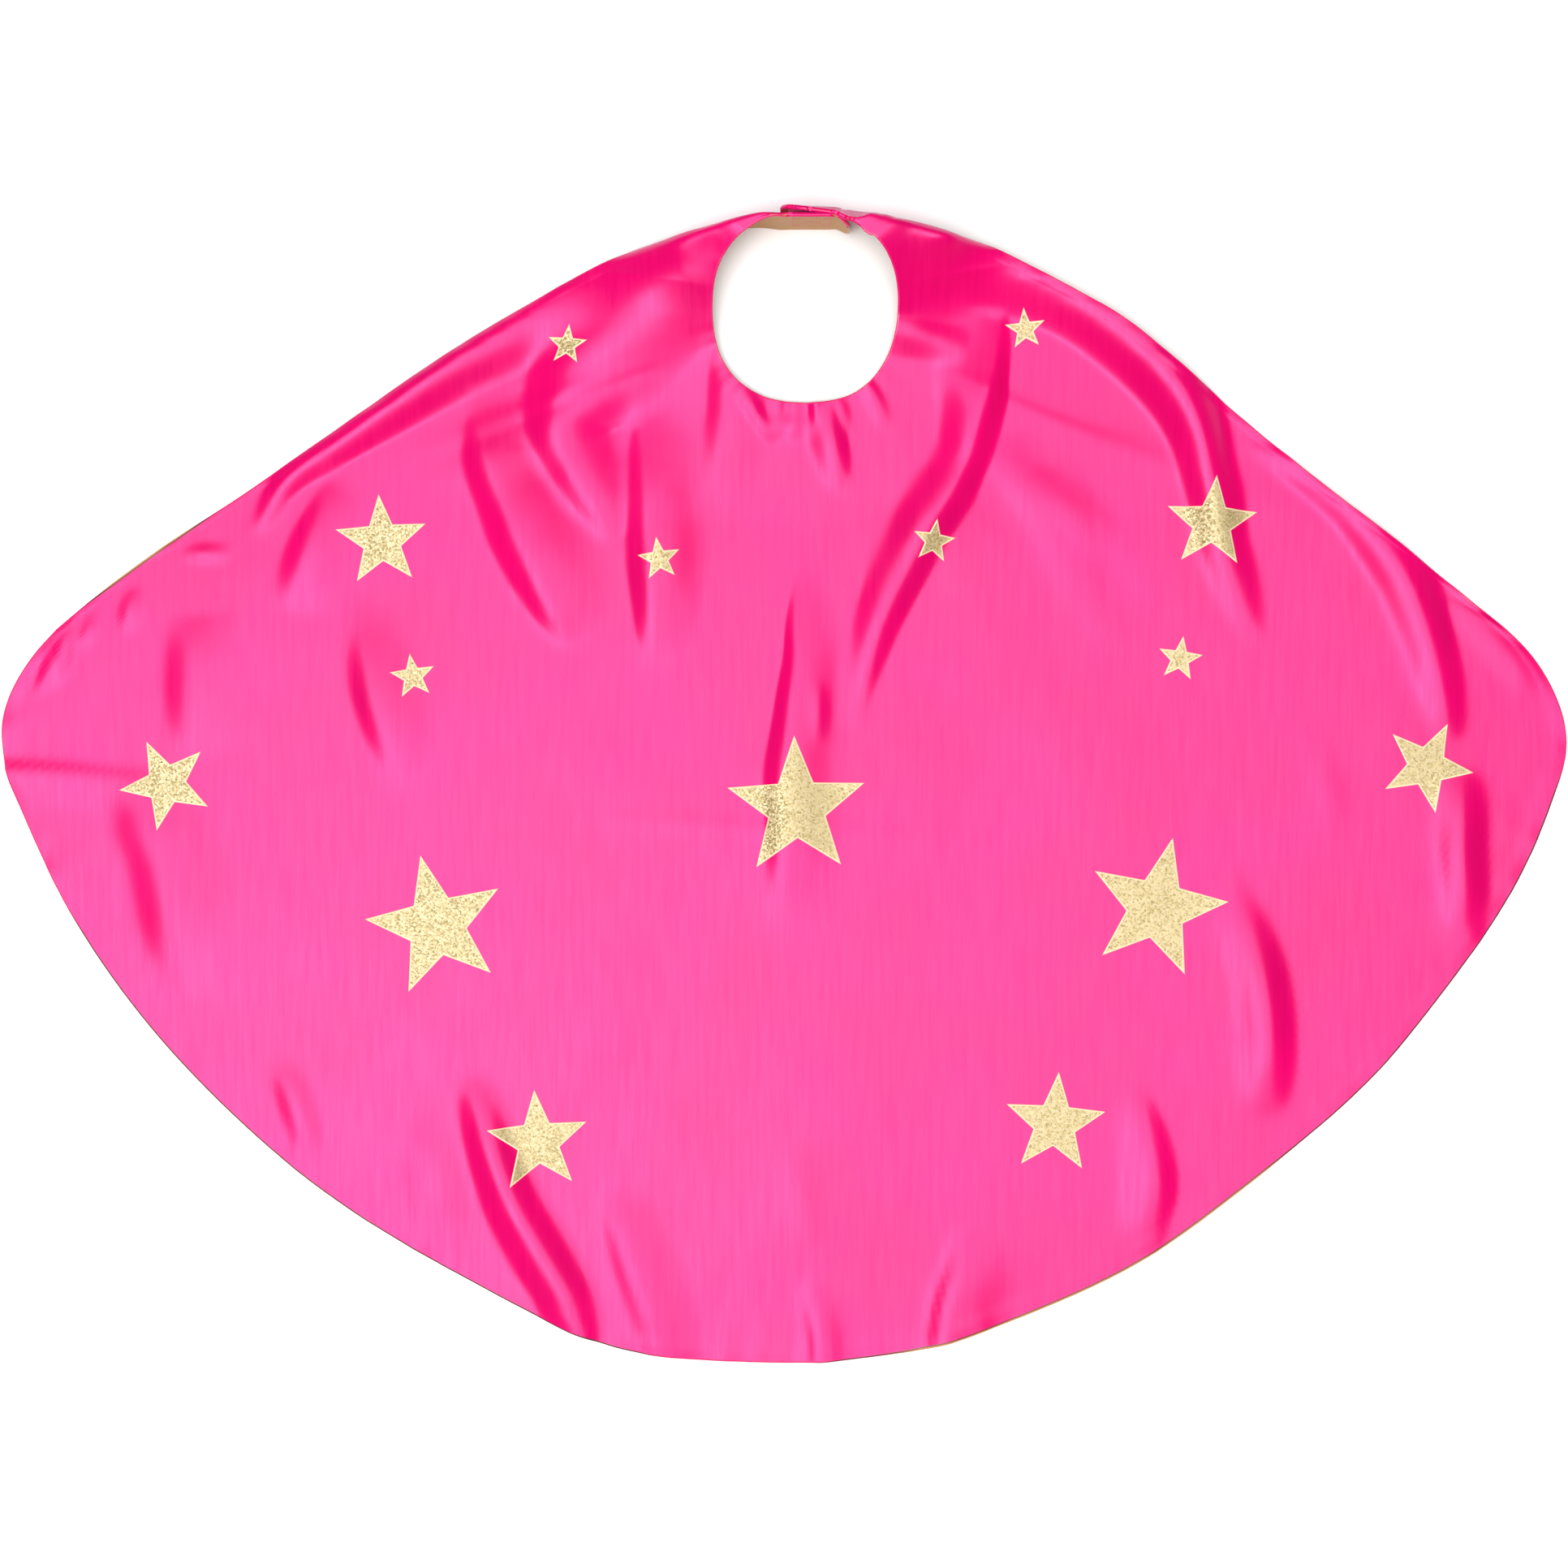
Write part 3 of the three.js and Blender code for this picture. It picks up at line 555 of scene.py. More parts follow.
def lean_of(x, height, turn):
    """How far a tab leans towards the neck."""
    if turn < 0:
        return INNER_TAB_CURL * np.clip((x - PATCH_RIGHT) / (8 * MM), 0, 1) ** 1.5
    places, leans = np.array(OUTER_TAB_LEAN).T * MM
    start = (33 - 29 * smooth(x, PATCH_RIGHT, 38 * MM)) * MM
    return np.interp(x, places, leans) * smooth((height - start) / (TAB_HEIGHT - start), 0, 1)


class Cape:
    """The strip of cloth: points and outward directions, as [column, ring], and its parts."""

    def __init__(self, fold_height):
        main = main_panel_points(fold_height)
        inner = tab_points(main[0], main[2], -1, INNER_TAB_END, 21)[::-1]
        outer = tab_points(main[-1], main[-3], 1, OUTER_TAB_END, 22)
        self.points = np.concatenate([inner, main, outer])
        last = len(self.points) - 1
        self.parts = {
            "inner_tab": slice(0, TAB_COLUMNS + 1),
            "main": slice(TAB_COLUMNS, TAB_COLUMNS + MAIN_COLUMNS + 1),
            "outer_tab": slice(TAB_COLUMNS + MAIN_COLUMNS, last + 1),
        }
        out = np.gradient(self.points, axis=1)
        along = np.gradient(self.points, axis=0)
        normals = np.cross(out, along)
        self.normals = normals / np.linalg.norm(normals, axis=2)[..., None]
        self.cloth_map = self.flat_places()

    def flat_places(self):
        """Each point's place on the cloth as it was cut, in metres."""
        places = self.points[..., :2].copy()
        for name in ("inner_tab", "outer_tab"):
            part = self.points[self.parts[name]]
            along = lengths_along(part[:, 0])
            places[self.parts[name], :, 0] = along[:, None]
            places[self.parts[name], :, 1] = part[..., 2]
        return places

    def rim(self):
        """The cloth's whole rim as a closed walk over (column, ring) pairs."""
        last_column = len(self.points) - 1
        last_ring = self.points.shape[1] - 1
        top = [(i, 0) for i in range(last_column + 1)]
        end = [(last_column, j) for j in range(1, last_ring)]
        foot = [(i, last_ring) for i in range(last_column, -1, -1)]
        start = [(0, j) for j in range(last_ring - 1, 0, -1)]
        return top + end + foot + start

    def rim_frames(self):
        """Place, way out of the cloth and outward direction at each step of the rim."""
        columns, rings = np.array(self.rim()).T
        place = self.points[columns, rings]
        normal = self.normals[columns, rings]
        tangent = np.roll(place, -1, 0) - np.roll(place, 1, 0)
        out = np.cross(normal, tangent)
        out /= np.linalg.norm(out, axis=1)[:, None]
        return place, out, normal

    def rim_part(self, name):
        """The steps of the rim that belong to a tab, to the neck edge or to the outer edge."""
        total = len(self.rim())
        columns = len(self.points)
        rings = self.points.shape[1]
        first, last = TAB_COLUMNS, TAB_COLUMNS + MAIN_COLUMNS
        foot_start = columns + rings - 2  # the foot's walk starts at the last column
        if name == "neck":
            return list(range(first, last + 1))
        if name == "outer":
            return list(range(foot_start + columns - 1 - last, foot_start + columns - first))
        if name == "outer_tab":
            return list(range(last, foot_start + columns - last))
        steps = range(foot_start + columns - 1 - first, total + first + 1)
        return [step % total for step in steps]


@functools.lru_cache
def cape_cloth(fold_height):
    return Cape(fold_height)


# ---------------------------------------------------------------- pieces


def finished_mesh(name, shape):
    mesh = bpy.data.meshes.new(name)
    shape.to_mesh(mesh)
    shape.free()
    return mesh


def add_piece(name, shape, materials, slot, nodes):
    """Makes an object from a finished bmesh, which stands for the named CAD nodes."""
    mesh = finished_mesh(name, shape)
    mesh.shade_smooth()
    for material in materials:
        mesh.materials.append(material)
    piece = bpy.data.objects.new(name, mesh)
    bpy.context.scene.collection.objects.link(piece)
    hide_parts(*nodes)
    return piece


def grid_shape(points, faces_follow_normals):
    """A bmesh grid moved to points[column, row], with the way that its faces turn."""
    columns, rows = points.shape[:2]
    shape = bmesh.new()
    bmesh.ops.create_grid(shape, x_segments=columns - 1, y_segments=rows - 1, size=0.5)
    layout = np.empty((columns * rows, 2), int)
    for index, vert in enumerate(shape.verts):
        column = round((vert.co.x + 0.5) * (columns - 1))
        row = round((vert.co.y + 0.5) * (rows - 1))
        layout[index] = column, row
        vert.co = points[column, row]
    if not faces_follow_normals:
        bmesh.ops.reverse_faces(shape, faces=shape.faces)
    return shape, layout


def add_map(mesh, name, places, layout):
    """A UV map whose place at each vertex is places[column, row]."""
    corner_vertex = np.empty(len(mesh.loops), np.int32)
    mesh.loops.foreach_get("vertex_index", corner_vertex)
    at_vertex = places[layout[:, 0], layout[:, 1]]
    layer = mesh.uv_layers.new(name=name)
    layer.uv.foreach_set("vector", at_vertex[corner_vertex].astype(np.float32).ravel())


def add_cloth(cape, part, name, face, outward, material, slot, node):
    """One layer of one part of the strip, at a height above the cape's underside."""
    where = cape.parts[part]
    points = cape.points[where] + cape.normals[where] * face
    shape, layout = grid_shape(points, faces_follow_normals=not outward)
    piece = add_piece(name, shape, [material], slot, [node])
    add_map(piece.data, "cloth", cape.cloth_map[where], layout)
    return piece


def add_roll(cape, part, name, material, node):
    """The rolled edge from the shell's face to the lining's face along a part of the rim."""
    steps = cape.rim_part(part)
    place, out, normal = (values[steps] for values in cape.rim_frames())
    length = lengths_along(place)
    seam, lining = np.zeros(len(steps)), np.zeros(len(steps))
    if part == "outer":
        seam, lining = (stretches(1 - length / length[-1], where)
                        for where in (SEAM_SHOWS, LINING_SHOWS))
    # the stitches pull the edge in a little at every thread
    pull = 1 - 0.05 * (0.5 + 0.5 * np.cos(2 * math.pi * length / (2.6 * MM)))
    angle = np.linspace(math.pi / 2, -math.pi / 2, ROLL_STEPS + 1)
    middle, half = (SHELL_FACE + LINING_FACE) / 2, (SHELL_FACE - LINING_FACE) / 2
    bulge = (EDGE_REACH * pull + 0.7 * MM * lining)[:, None, None]
    points = place[:, None] + out[:, None] * np.cos(angle)[None, :, None] * bulge
    points = points + normal[:, None] * (middle + half * np.sin(angle))[None, :, None]
    shape, layout = grid_shape(points, faces_follow_normals=False)
    piece = add_piece(name, shape, [material], "shell_satin", [node])
    # Up to 0.45 the roll is shell, then comes the seam's dark line of painted shade, and from 1 on
    # it is lining.
    start = 0.1 + 0.45 * np.maximum(seam, lining)
    across = start[:, None] + (0.3 + 0.5 * lining)[:, None] * np.cos(angle)[None, :]
    across = np.where(angle[None, :] >= 0, across, 1.6)
    along = np.repeat(length[:, None], ROLL_STEPS + 1, 1)
    add_map(piece.data, "roll", np.dstack([along, across]), layout)
    return piece


def stretches(share, where):
    """1 inside the given stretches and 0 outside, with soft ends."""
    inside = [smooth(share, start, start + 0.02) * (1 - smooth(share, end - 0.02, end))
              for start, end in where]
    return np.max(inside, axis=0)


def bend_tab(piece, part):
    """Bakes a tab piece's placement into its mesh. The tab's root is worked out but not used."""
    angle, turn = (INNER_ROOT, -1) if part == "inner_tab" else (OUTER_ROOT, 1)
    root = Vector((*plan_point(angle, neck_radius(angle)), TAB_HEIGHT / 2))
    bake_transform(piece)


# ---------------------------------------------------------------- materials


def add_node(tree, kind, settings=None, **links):
    """A node with its settings and links. A setting named for a socket sets that socket, and a
    link is named for its socket too, or is _0, _1 and so on for a socket known by number."""
    node = tree.nodes.new(kind)
    for key, value in (settings or {}).items():
        if key in node.inputs and not hasattr(node, key):
            node.inputs[key].default_value = value
        else:
            setattr(node, key, value)
    for key, source in links.items():
        socket = int(key[1:]) if key[1:].isdigit() else key.replace("_", " ")
        tree.links.new(source, node.inputs[socket])
    return node


def new_material(name):
    material = bpy.data.materials.new(name)
    material.use_nodes = True
    material.node_tree.nodes.clear()
    return material, material.node_tree


def finish_material(material, shader):
    add_node(material.node_tree, "ShaderNodeOutputMaterial", {}, Surface=shader.outputs["BSDF"])
    return material


def satin(name, light, deep, tint, gloss):
    """Polyester satin, woven with long floating threads on its face and pressed. The floats give
    a broad, soft gloss that is tinted by the dye, so that flat cloth is bright and the sides of
    folds fall to the deep colour of the dye. A few thicker threads show as fine slubs."""
    material, tree = new_material(name)
    cloth = add_node(tree, "ShaderNodeUVMap", {"uv_map": "cloth"}).outputs["UV"]
    # Warp threads lie 0.12 mm apart, which is too fine to show, so they are drawn 1.3 mm apart.
    threads = add_node(tree, "ShaderNodeTexWave", {"wave_type": "BANDS", "bands_direction": "X",
                       "Scale": 0.314 / (1.3 * MM), "Distortion": 1.2, "Detail": 1.0,
                       "Detail Scale": 0.6}, Vector=cloth).outputs["Fac"]
    # Slubs: thicker stretches of thread, about 1.5 mm wide and 30 mm long as drawn.
    stretched = add_node(tree, "ShaderNodeMapping", {"Scale": (1 / (3 * MM), 1 / (45 * MM), 1)},
                         Vector=cloth).outputs["Vector"]
    slubs = add_node(tree, "ShaderNodeTexNoise", {"Scale": 1.0, "Detail": 3.0, "Roughness": 0.6},
                     Vector=stretched).outputs["Fac"]
    # Slow changes of shade where the cloth was handled and pressed, about 90 mm across.
    handled = add_node(tree, "ShaderNodeTexNoise", {"Scale": 1 / (90 * MM), "Detail": 2.0,
                       "Roughness": 0.45}, Vector=cloth).outputs["Fac"]
    uneven = add_node(tree, "ShaderNodeMath", {"operation": "MULTIPLY_ADD"}, _0=handled, _2=slubs)
    uneven.inputs[1].default_value = 3.0
    shade = add_node(tree, "ShaderNodeMapRange", {"From Min": 1.5, "From Max": 2.5, "To Min": 0.0,
                     "To Max": 1.0}, Value=uneven.outputs[0]).outputs["Result"]
    colour = add_node(tree, "ShaderNodeMix", {"data_type": "RGBA"}, _0=shade)
    colour.inputs[6].default_value = (*deep, 1)
    colour.inputs[7].default_value = (*light, 1)
    rough = add_node(tree, "ShaderNodeMapRange", {"From Min": 0.3, "From Max": 0.7,
                     "To Min": gloss - 0.04, "To Max": gloss + 0.05}, Value=slubs)
    weave = add_node(tree, "ShaderNodeBump", {"Strength": 0.5, "Distance": 0.005 * MM},
                     Height=threads).outputs["Normal"]
    surface = add_node(tree, "ShaderNodeBump", {"Strength": 0.5, "Distance": 0.012 * MM},
                       Height=slubs, Normal=weave).outputs["Normal"]
    # The floats lie along the warp, so the gloss is broad along it and tight across it.
    warp = add_node(tree, "ShaderNodeTangent", {"direction_type": "UV_MAP", "uv_map": "cloth"})
    shader = add_node(tree, "ShaderNodeBsdfPrincipled", {
        "Metallic": 0.06, "IOR": 1.5, "Specular Tint": (*tint, 1), "Anisotropic": 0.5,
        "Anisotropic Rotation": 0.25, "Sheen Weight": 0.05, "Sheen Roughness": 0.45,
        "Sheen Tint": (*tint, 1),
    }, Tangent=warp.outputs["Tangent"], Base_Color=colour.outputs[2],
        Roughness=rough.outputs["Result"], Normal=surface)
    return finish_material(material, shader)


def rolled_satin(name, shell, lining):
    """The turned and stitched edge of both satins. The shell's dye runs to the seam, where a
    fine dark line of painted shade stands for the groove between the satins, and the lining's shows
    beyond it."""
    material, tree = new_material(name)
    place = add_node(tree, "ShaderNodeUVMap", {"uv_map": "roll"}).outputs["UV"]
    parts = add_node(tree, "ShaderNodeSeparateXYZ", {}, Vector=place)
    ramp = add_node(tree, "ShaderNodeValToRGB", {}, Fac=parts.outputs["Y"])
    stops = ramp.color_ramp.elements
    stops[0].position, stops[0].color = 0.45, (*shell, 1)
    stops[1].position, stops[1].color = 1.0, (*lining, 1)
    # painted shade: a dark band stands for the shade in the seam's groove, not a colour of the
    # satin or the thread
    for position in (0.62, 0.85):
        stops.new(position).color = (*linear("#6e0a2a"), 1)
    # Sewing thread pulls the roll in at each stitch, 2.6 mm apart.
    stitches = add_node(tree, "ShaderNodeTexWave", {"wave_type": "BANDS", "bands_direction": "X",
                        "Scale": 0.314 / (2.6 * MM), "Distortion": 0.4}, Vector=place)
    bumps = add_node(tree, "ShaderNodeBump", {"Strength": 0.5, "Distance": 0.1 * MM},
                     Height=stitches.outputs["Fac"]).outputs["Normal"]
    shader = add_node(tree, "ShaderNodeBsdfPrincipled", {
        "Metallic": 0.0, "IOR": 1.57, "Roughness": 0.42, "Specular IOR Level": 0.6,
    }, Base_Color=ramp.outputs["Color"], Normal=bumps)
    return finish_material(material, shader)


def glitter_film(name, pale, gold):
    """Heat-pressed glitter film: flakes of metallised polyester in a clear carrier. Each flake
    lies at its own small angle, so that some shine and some stay dark."""
    material, tree = new_material(name)
    place = add_node(tree, "ShaderNodeTexCoord").outputs["Object"]
    # Flakes are 0.4 mm across, and are drawn 0.9 mm across so that they show.
    flakes = add_node(tree, "ShaderNodeTexVoronoi", {"feature": "F1", "Scale": 1 / (0.9 * MM),
                      "Randomness": 1.0}, Vector=place)
    rates = add_node(tree, "ShaderNodeSeparateColor", {}, Color=flakes.outputs["Color"])
    ramp = add_node(tree, "ShaderNodeValToRGB", {}, Fac=rates.outputs["Red"])
    stops = ramp.color_ramp.elements
    stops[0].position, stops[0].color = 0.0, (*linear("#94824c"), 1)
    stops[1].position, stops[1].color = 1.0, (*pale, 1)
    middle = stops.new(0.45)
    middle.color = (*gold, 1)
    tilt = add_node(tree, "ShaderNodeVectorMath", {"operation": "SUBTRACT"},
                    _0=flakes.outputs["Color"])
    tilt.inputs[1].default_value = (0.5, 0.5, 0.5)
    lean = add_node(tree, "ShaderNodeVectorMath", {"operation": "SCALE", "Scale": 0.35},
                    _0=tilt.outputs[0])
    normal = add_node(tree, "ShaderNodeNewGeometry").outputs["Normal"]
    leaning = add_node(tree, "ShaderNodeVectorMath", {"operation": "ADD"}, _0=normal,
                       _1=lean.outputs[0])
    facing = add_node(tree, "ShaderNodeVectorMath", {"operation": "NORMALIZE"},
                      _0=leaning.outputs[0])
    rough = add_node(tree, "ShaderNodeMapRange", {"To Min": 0.4, "To Max": 0.65},
                     Value=rates.outputs["Green"]).outputs["Result"]
    shader = add_node(tree, "ShaderNodeBsdfPrincipled", {
        "Metallic": 0.25, "IOR": 1.5, "Coat Weight": 0.05, "Coat Roughness": 0.3,
    }, Base_Color=ramp.outputs["Color"], Roughness=rough, Normal=facing.outputs[0])
    return finish_material(material, shader)


def film_border(name, colour):
    """The clear carrier of the glitter film, cut a little outside the glitter: polyurethane that
    has soaked into the satin and dried milky."""
    material, tree = new_material(name)
    place = add_node(tree, "ShaderNodeTexCoord").outputs["Object"]
    grain = add_node(tree, "ShaderNodeTexNoise", {"Scale": 1 / (2 * MM), "Detail": 2.0},
                     Vector=place).outputs["Fac"]
    bumps = add_node(tree, "ShaderNodeBump", {"Strength": 0.3, "Distance": 0.05 * MM},
                     Height=grain).outputs["Normal"]
    shader = add_node(tree, "ShaderNodeBsdfPrincipled", {
        "Base Color": (*colour, 1), "Roughness": 0.45, "IOR": 1.5}, Normal=bumps)
    return finish_material(material, shader)


def woven_tape(name, colour):
    """Dyed nylon tape, woven plain and matt. Ribs run across it every 0.8 mm."""
    material, tree = new_material(name)
    place = add_node(tree, "ShaderNodeTexCoord").outputs["Object"]
    ribs = add_node(tree, "ShaderNodeTexWave", {"wave_type": "BANDS", "bands_direction": "X",
                    "Scale": 0.314 / (0.8 * MM), "Distortion": 0.8}, Vector=place).outputs["Fac"]
    fibres = add_node(tree, "ShaderNodeTexNoise", {"Scale": 1 / (0.5 * MM), "Detail": 3.0},
                      Vector=place).outputs["Fac"]
    mixed = add_node(tree, "ShaderNodeMix", {"data_type": "RGBA"}, _0=fibres)
    mixed.inputs[6].default_value = (*[c * 0.7 for c in colour], 1)
    mixed.inputs[7].default_value = (*[min(c * 1.15, 1) for c in colour], 1)
    bumps = add_node(tree, "ShaderNodeBump", {"Strength": 0.6, "Distance": 0.1 * MM},
                     Height=ribs).outputs["Normal"]
    shader = add_node(tree, "ShaderNodeBsdfPrincipled", {
        "Roughness": 0.8, "IOR": 1.53, "Sheen Weight": 0.3, "Sheen Roughness": 0.5,
    }, Base_Color=mixed.outputs[2], Normal=bumps)
    return finish_material(material, shader)


def sewing_thread(name, colour):
    """Spun polyester sewing thread, two plies twisted, with a soft low shine."""
    material, tree = new_material(name)
    place = add_node(tree, "ShaderNodeTexCoord").outputs["Object"]
    twist = add_node(tree, "ShaderNodeTexWave", {"wave_type": "BANDS",
                     "bands_direction": "DIAGONAL", "Scale": 0.314 / (0.5 * MM)},
                     Vector=place).outputs["Fac"]
    bumps = add_node(tree, "ShaderNodeBump", {"Strength": 0.7, "Distance": 0.08 * MM},
                     Height=twist).outputs["Normal"]
    shader = add_node(tree, "ShaderNodeBsdfPrincipled", {
        "Base Color": (*colour, 1), "Roughness": 0.55, "IOR": 1.57, "Sheen Weight": 0.2,
    }, Normal=bumps)
    return finish_material(material, shader)


def matt_paper(name, colour):
    """Seamless background paper, uncoated and matt."""
    material, tree = new_material(name)
    shader = add_node(tree, "ShaderNodeBsdfPrincipled", {
        "Base Color": (*colour, 1), "Roughness": 0.9, "Specular IOR Level": 0.2})
    return finish_material(material, shader)


# ---------------------------------------------------------------- settings


class CapeSizes(bpy.types.PropertyGroup):
    fold_height: bpy.props.FloatProperty(
        name="Fold height", description="Height of the folds, as a share of the height as laid",
        default=1.0, min=0.0, max=1.5, subtype="FACTOR")
    film_thickness: bpy.props.FloatProperty(
        name="Film thickness", description="Thickness of the glitter film",
        default=0.25 * MM, subtype="DISTANCE", unit="LENGTH")
    film_border: bpy.props.FloatProperty(
        name="Film border", description="Width of the clear border round the glitter",
        default=0.8 * MM, subtype="DISTANCE", unit="LENGTH")
    stitch_length: bpy.props.FloatProperty(
        name="Stitch length", description="Length of one stitch on the patches",
        default=2.6 * MM, subtype="DISTANCE", unit="LENGTH")
    hook_spacing: bpy.props.FloatProperty(
        name="Hook spacing", description="Distance between the hooks of the hook patch",
        default=1.6 * MM, subtype="DISTANCE", unit="LENGTH")
    camera_height: bpy.props.FloatProperty(
        name="Camera height", description="Height of the camera above the surface",
        default=1.6, subtype="DISTANCE", unit="LENGTH")


def colour_property(name, description, code):
    return bpy.props.FloatVectorProperty(
        name=name, description=description, default=linear(code), subtype="COLOR",
        size=3, min=0, max=1)


class CapeColours(bpy.types.PropertyGroup):
    shell: colour_property("Shell", "Dye of the shell's satin", "#e30067")
    lining: colour_property("Lining", "Dye of the lining's satin", "#c48c50")
    glitter: colour_property("Glitter", "Middle colour of the glitter flakes", "#c0ab78")
    tape: colour_property("Tape", "Dye of the hook and loop tape", "#e9417f")
    thread: colour_property("Thread", "Dye of the sewing thread", "#d8206a")
    floor: colour_property("Floor", "Colour of the surface that the cape lies on", "#f4f3f3")


# ---------------------------------------------------------------- operators


def add_layer(context, layer, face, cloth, ending):
    """A layer of satin on the main panel and on both tabs."""
    cape = cape_cloth(context.scene.cape_sizes.fold_height)
    slot, outward = layer + "_satin", layer == "shell"
    main = add_cloth(cape, "main", layer + "_main_panel", face, outward, cloth, slot,
                     "main_" + ending)
    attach(main, "main_panel")
    for part in TABS:
        tab = add_cloth(cape, part, f"{layer}_{part}", face, outward, cloth, slot,
                        f"{part}_{ending}")
        bend_tab(tab, part)


class CAPE_OT_shell(bpy.types.Operator):
    """Make the satin shell of the main panel and of both tabs"""

    bl_idname = "cape.shell"
    bl_label = "Shell"

    def execute(self, context):
        dye = np.array(context.scene.cape_colours.shell)
        cloth = satin("polyester_satin_pressed", light=tuple(np.minimum(dye * 1.08, 1)),
                      deep=tuple(dye * 0.9), tint=linear("#ffbfff"), gloss=0.32)
        add_layer(context, "shell", SHELL_FACE, cloth, "satin")
        return {"FINISHED"}


class CAPE_OT_lining(bpy.types.Operator):
    """Make the satin lining of the main panel and of both tabs"""

    bl_idname = "cape.lining"
    bl_label = "Lining"

    def execute(self, context):
        dye = np.array(context.scene.cape_colours.lining)
        cloth = satin("polyester_satin_lining", light=tuple(np.minimum(dye * 1.1, 1)),
                      deep=tuple(dye * 0.85), tint=linear("#ffe0b0"), gloss=0.42)
        add_layer(context, "lining", LINING_FACE, cloth, "lining")
        return {"FINISHED"}


class CAPE_OT_rolled_edges(bpy.types.Operator):
    """Make the rolled and stitched edge round the outside, the neck and both tabs"""

    bl_idname = "cape.rolled_edges"
    bl_label = "Rolled edges"

    def execute(self, context):
        cape = cape_cloth(context.scene.cape_sizes.fold_height)
        colours = context.scene.cape_colours
        roll = rolled_satin("polyester_satin_turned_edge", tuple(colours.shell),
                            tuple(colours.lining))
        for edge in ("outer", "neck"):
            piece = add_roll(cape, edge, f"rolled_{edge}_edge", roll, f"{edge}_edge_seam")
            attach(piece, "main_panel")
        for part in TABS:
            piece = add_roll(cape, part, f"rolled_edge_{part}", roll, f"{part}_edge_seam")
            bend_tab(piece, part)
        return {"FINISHED"}


def surface_tree(name):
    """A tree for finding places on a piece, by its name."""
    mesh = bpy.data.objects[name].data
    points = [v.co for v in mesh.vertices]
    return BVHTree.FromPolygons(points, [tuple(p.vertices) for p in mesh.polygons])


def star_facts(node):
    """Centre, tip radius, waist radius and direction of a tip, read from a star's CAD node."""
    points = np.array([v.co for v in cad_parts[node].data.vertices])[:, :2]
    outline = np.unique(np.round(points, 6), axis=0)
    centre = outline.mean(0)
    arms = outline - centre
    radii = np.linalg.norm(arms, axis=1)
    tip = arms[radii.argmax()]
    waist = radii[radii > 0.2 * radii.max()].min()
    return centre, radii.max(), waist, math.atan2(tip[1], tip[0])


def star_shape(node, border, surface, height):
    """A star cut from film, which lies on the shell with its fine border strip."""
    centre, tip, waist, turn = star_facts(node)
    shape = bmesh.new()
    bmesh.ops.create_circle(shape, cap_ends=True, cap_tris=True, segments=10, radius=1)
    outline = [v for v in shape.verts if v.co.length > 0.5]
    for vert in outline:
        corner = round((math.atan2(vert.co.y, vert.co.x) - math.pi / 2) / (math.pi / 5))
        radius = waist if corner % 2 else tip
        angle = corner * math.pi / 5
        vert.co = (radius * math.cos(angle), radius * math.sin(angle), 0)
    side = math.dist((tip, 0), (waist * math.cos(math.pi / 5), waist * math.sin(math.pi / 5)))
    depth = tip * waist * math.sin(math.pi / 5) / side
    rows = max(round(depth / border), 4)
    bmesh.ops.subdivide_edges(shape, edges=shape.edges, cuts=rows - 1, use_grid_fill=True)
    bmesh.ops.rotate(shape, verts=shape.verts, cent=(0, 0, 0),
                     matrix=Matrix.Rotation(turn, 3, "Z"))
    bmesh.ops.translate(shape, verts=shape.verts, vec=(*centre, 0))
    for face in shape.faces:
        face.material_index = int(any(vert.is_boundary for vert in face.verts))
    for vert in shape.verts:
        hit = surface.ray_cast(Vector((vert.co.x, vert.co.y, 1)), Vector((0, 0, -1)))
        vert.co.z = hit[0].z + height
    bmesh.ops.recalc_face_normals(shape, faces=shape.faces)
    if sum(face.normal.z for face in shape.faces) < 0:
        bmesh.ops.reverse_faces(shape, faces=shape.faces)
    return shape


class CAPE_OT_stars(bpy.types.Operator):
    """Make the fifteen glitter stars, which follow the folds of the shell"""

    bl_idname = "cape.stars"
    bl_label = "Glitter stars"

    def execute(self, context):
        sizes = context.scene.cape_sizes
        gold = tuple(context.scene.cape_colours.glitter)
        glitter = glitter_film("glitter_film_heat_pressed", pale=linear("#dccba2"), gold=gold)
        border = film_border("polyurethane_carrier_film", linear("#f3dcb0"))
        surface = surface_tree("shell_main_panel")
        lift = 0.1 * MM + sizes.film_thickness
        nodes = [node for node in sorted(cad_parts) if node.startswith("star_")]
        if not nodes:
            raise RuntimeError("the frame has no star nodes")
        for node in nodes:
            shape = star_shape(node, sizes.film_border, surface, lift)
            star = add_piece("glitter_" + node, shape, [glitter, border], "glitter_film", [node])
            thickness = star.modifiers.new("film thickness", "SOLIDIFY")
            thickness.thickness = sizes.film_thickness
            thickness.offset = -1
            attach(star, "main_panel")
        return {"FINISHED"}


def plate_shape(low, high, corner):
    """An upright plate between two corners, with rounded corners and softened edges."""
    shape = bmesh.new()
    size = high - low
    bmesh.ops.create_cube(shape, size=1)
    bmesh.ops.scale(shape, verts=shape.verts, vec=size)
    bmesh.ops.translate(shape, verts=shape.verts, vec=(low + high) / 2)
    across = [e for e in shape.edges
              if abs(e.verts[0].co.y - e.verts[1].co.y) > size.y / 2]
    bmesh.ops.bevel(shape, geom=across, offset=corner, segments=4, profile=0.5, affect="EDGES",
                    material=-1)
    rims = [e for e in shape.edges if abs(e.verts[0].co.y - e.verts[1].co.y) < size.y / 10
            and e.calc_face_angle(0) > 1]
    bmesh.ops.bevel(shape, geom=rims, offset=size.y / 5, segments=2, profile=0.5,
                    affect="EDGES", material=-1)
    return shape


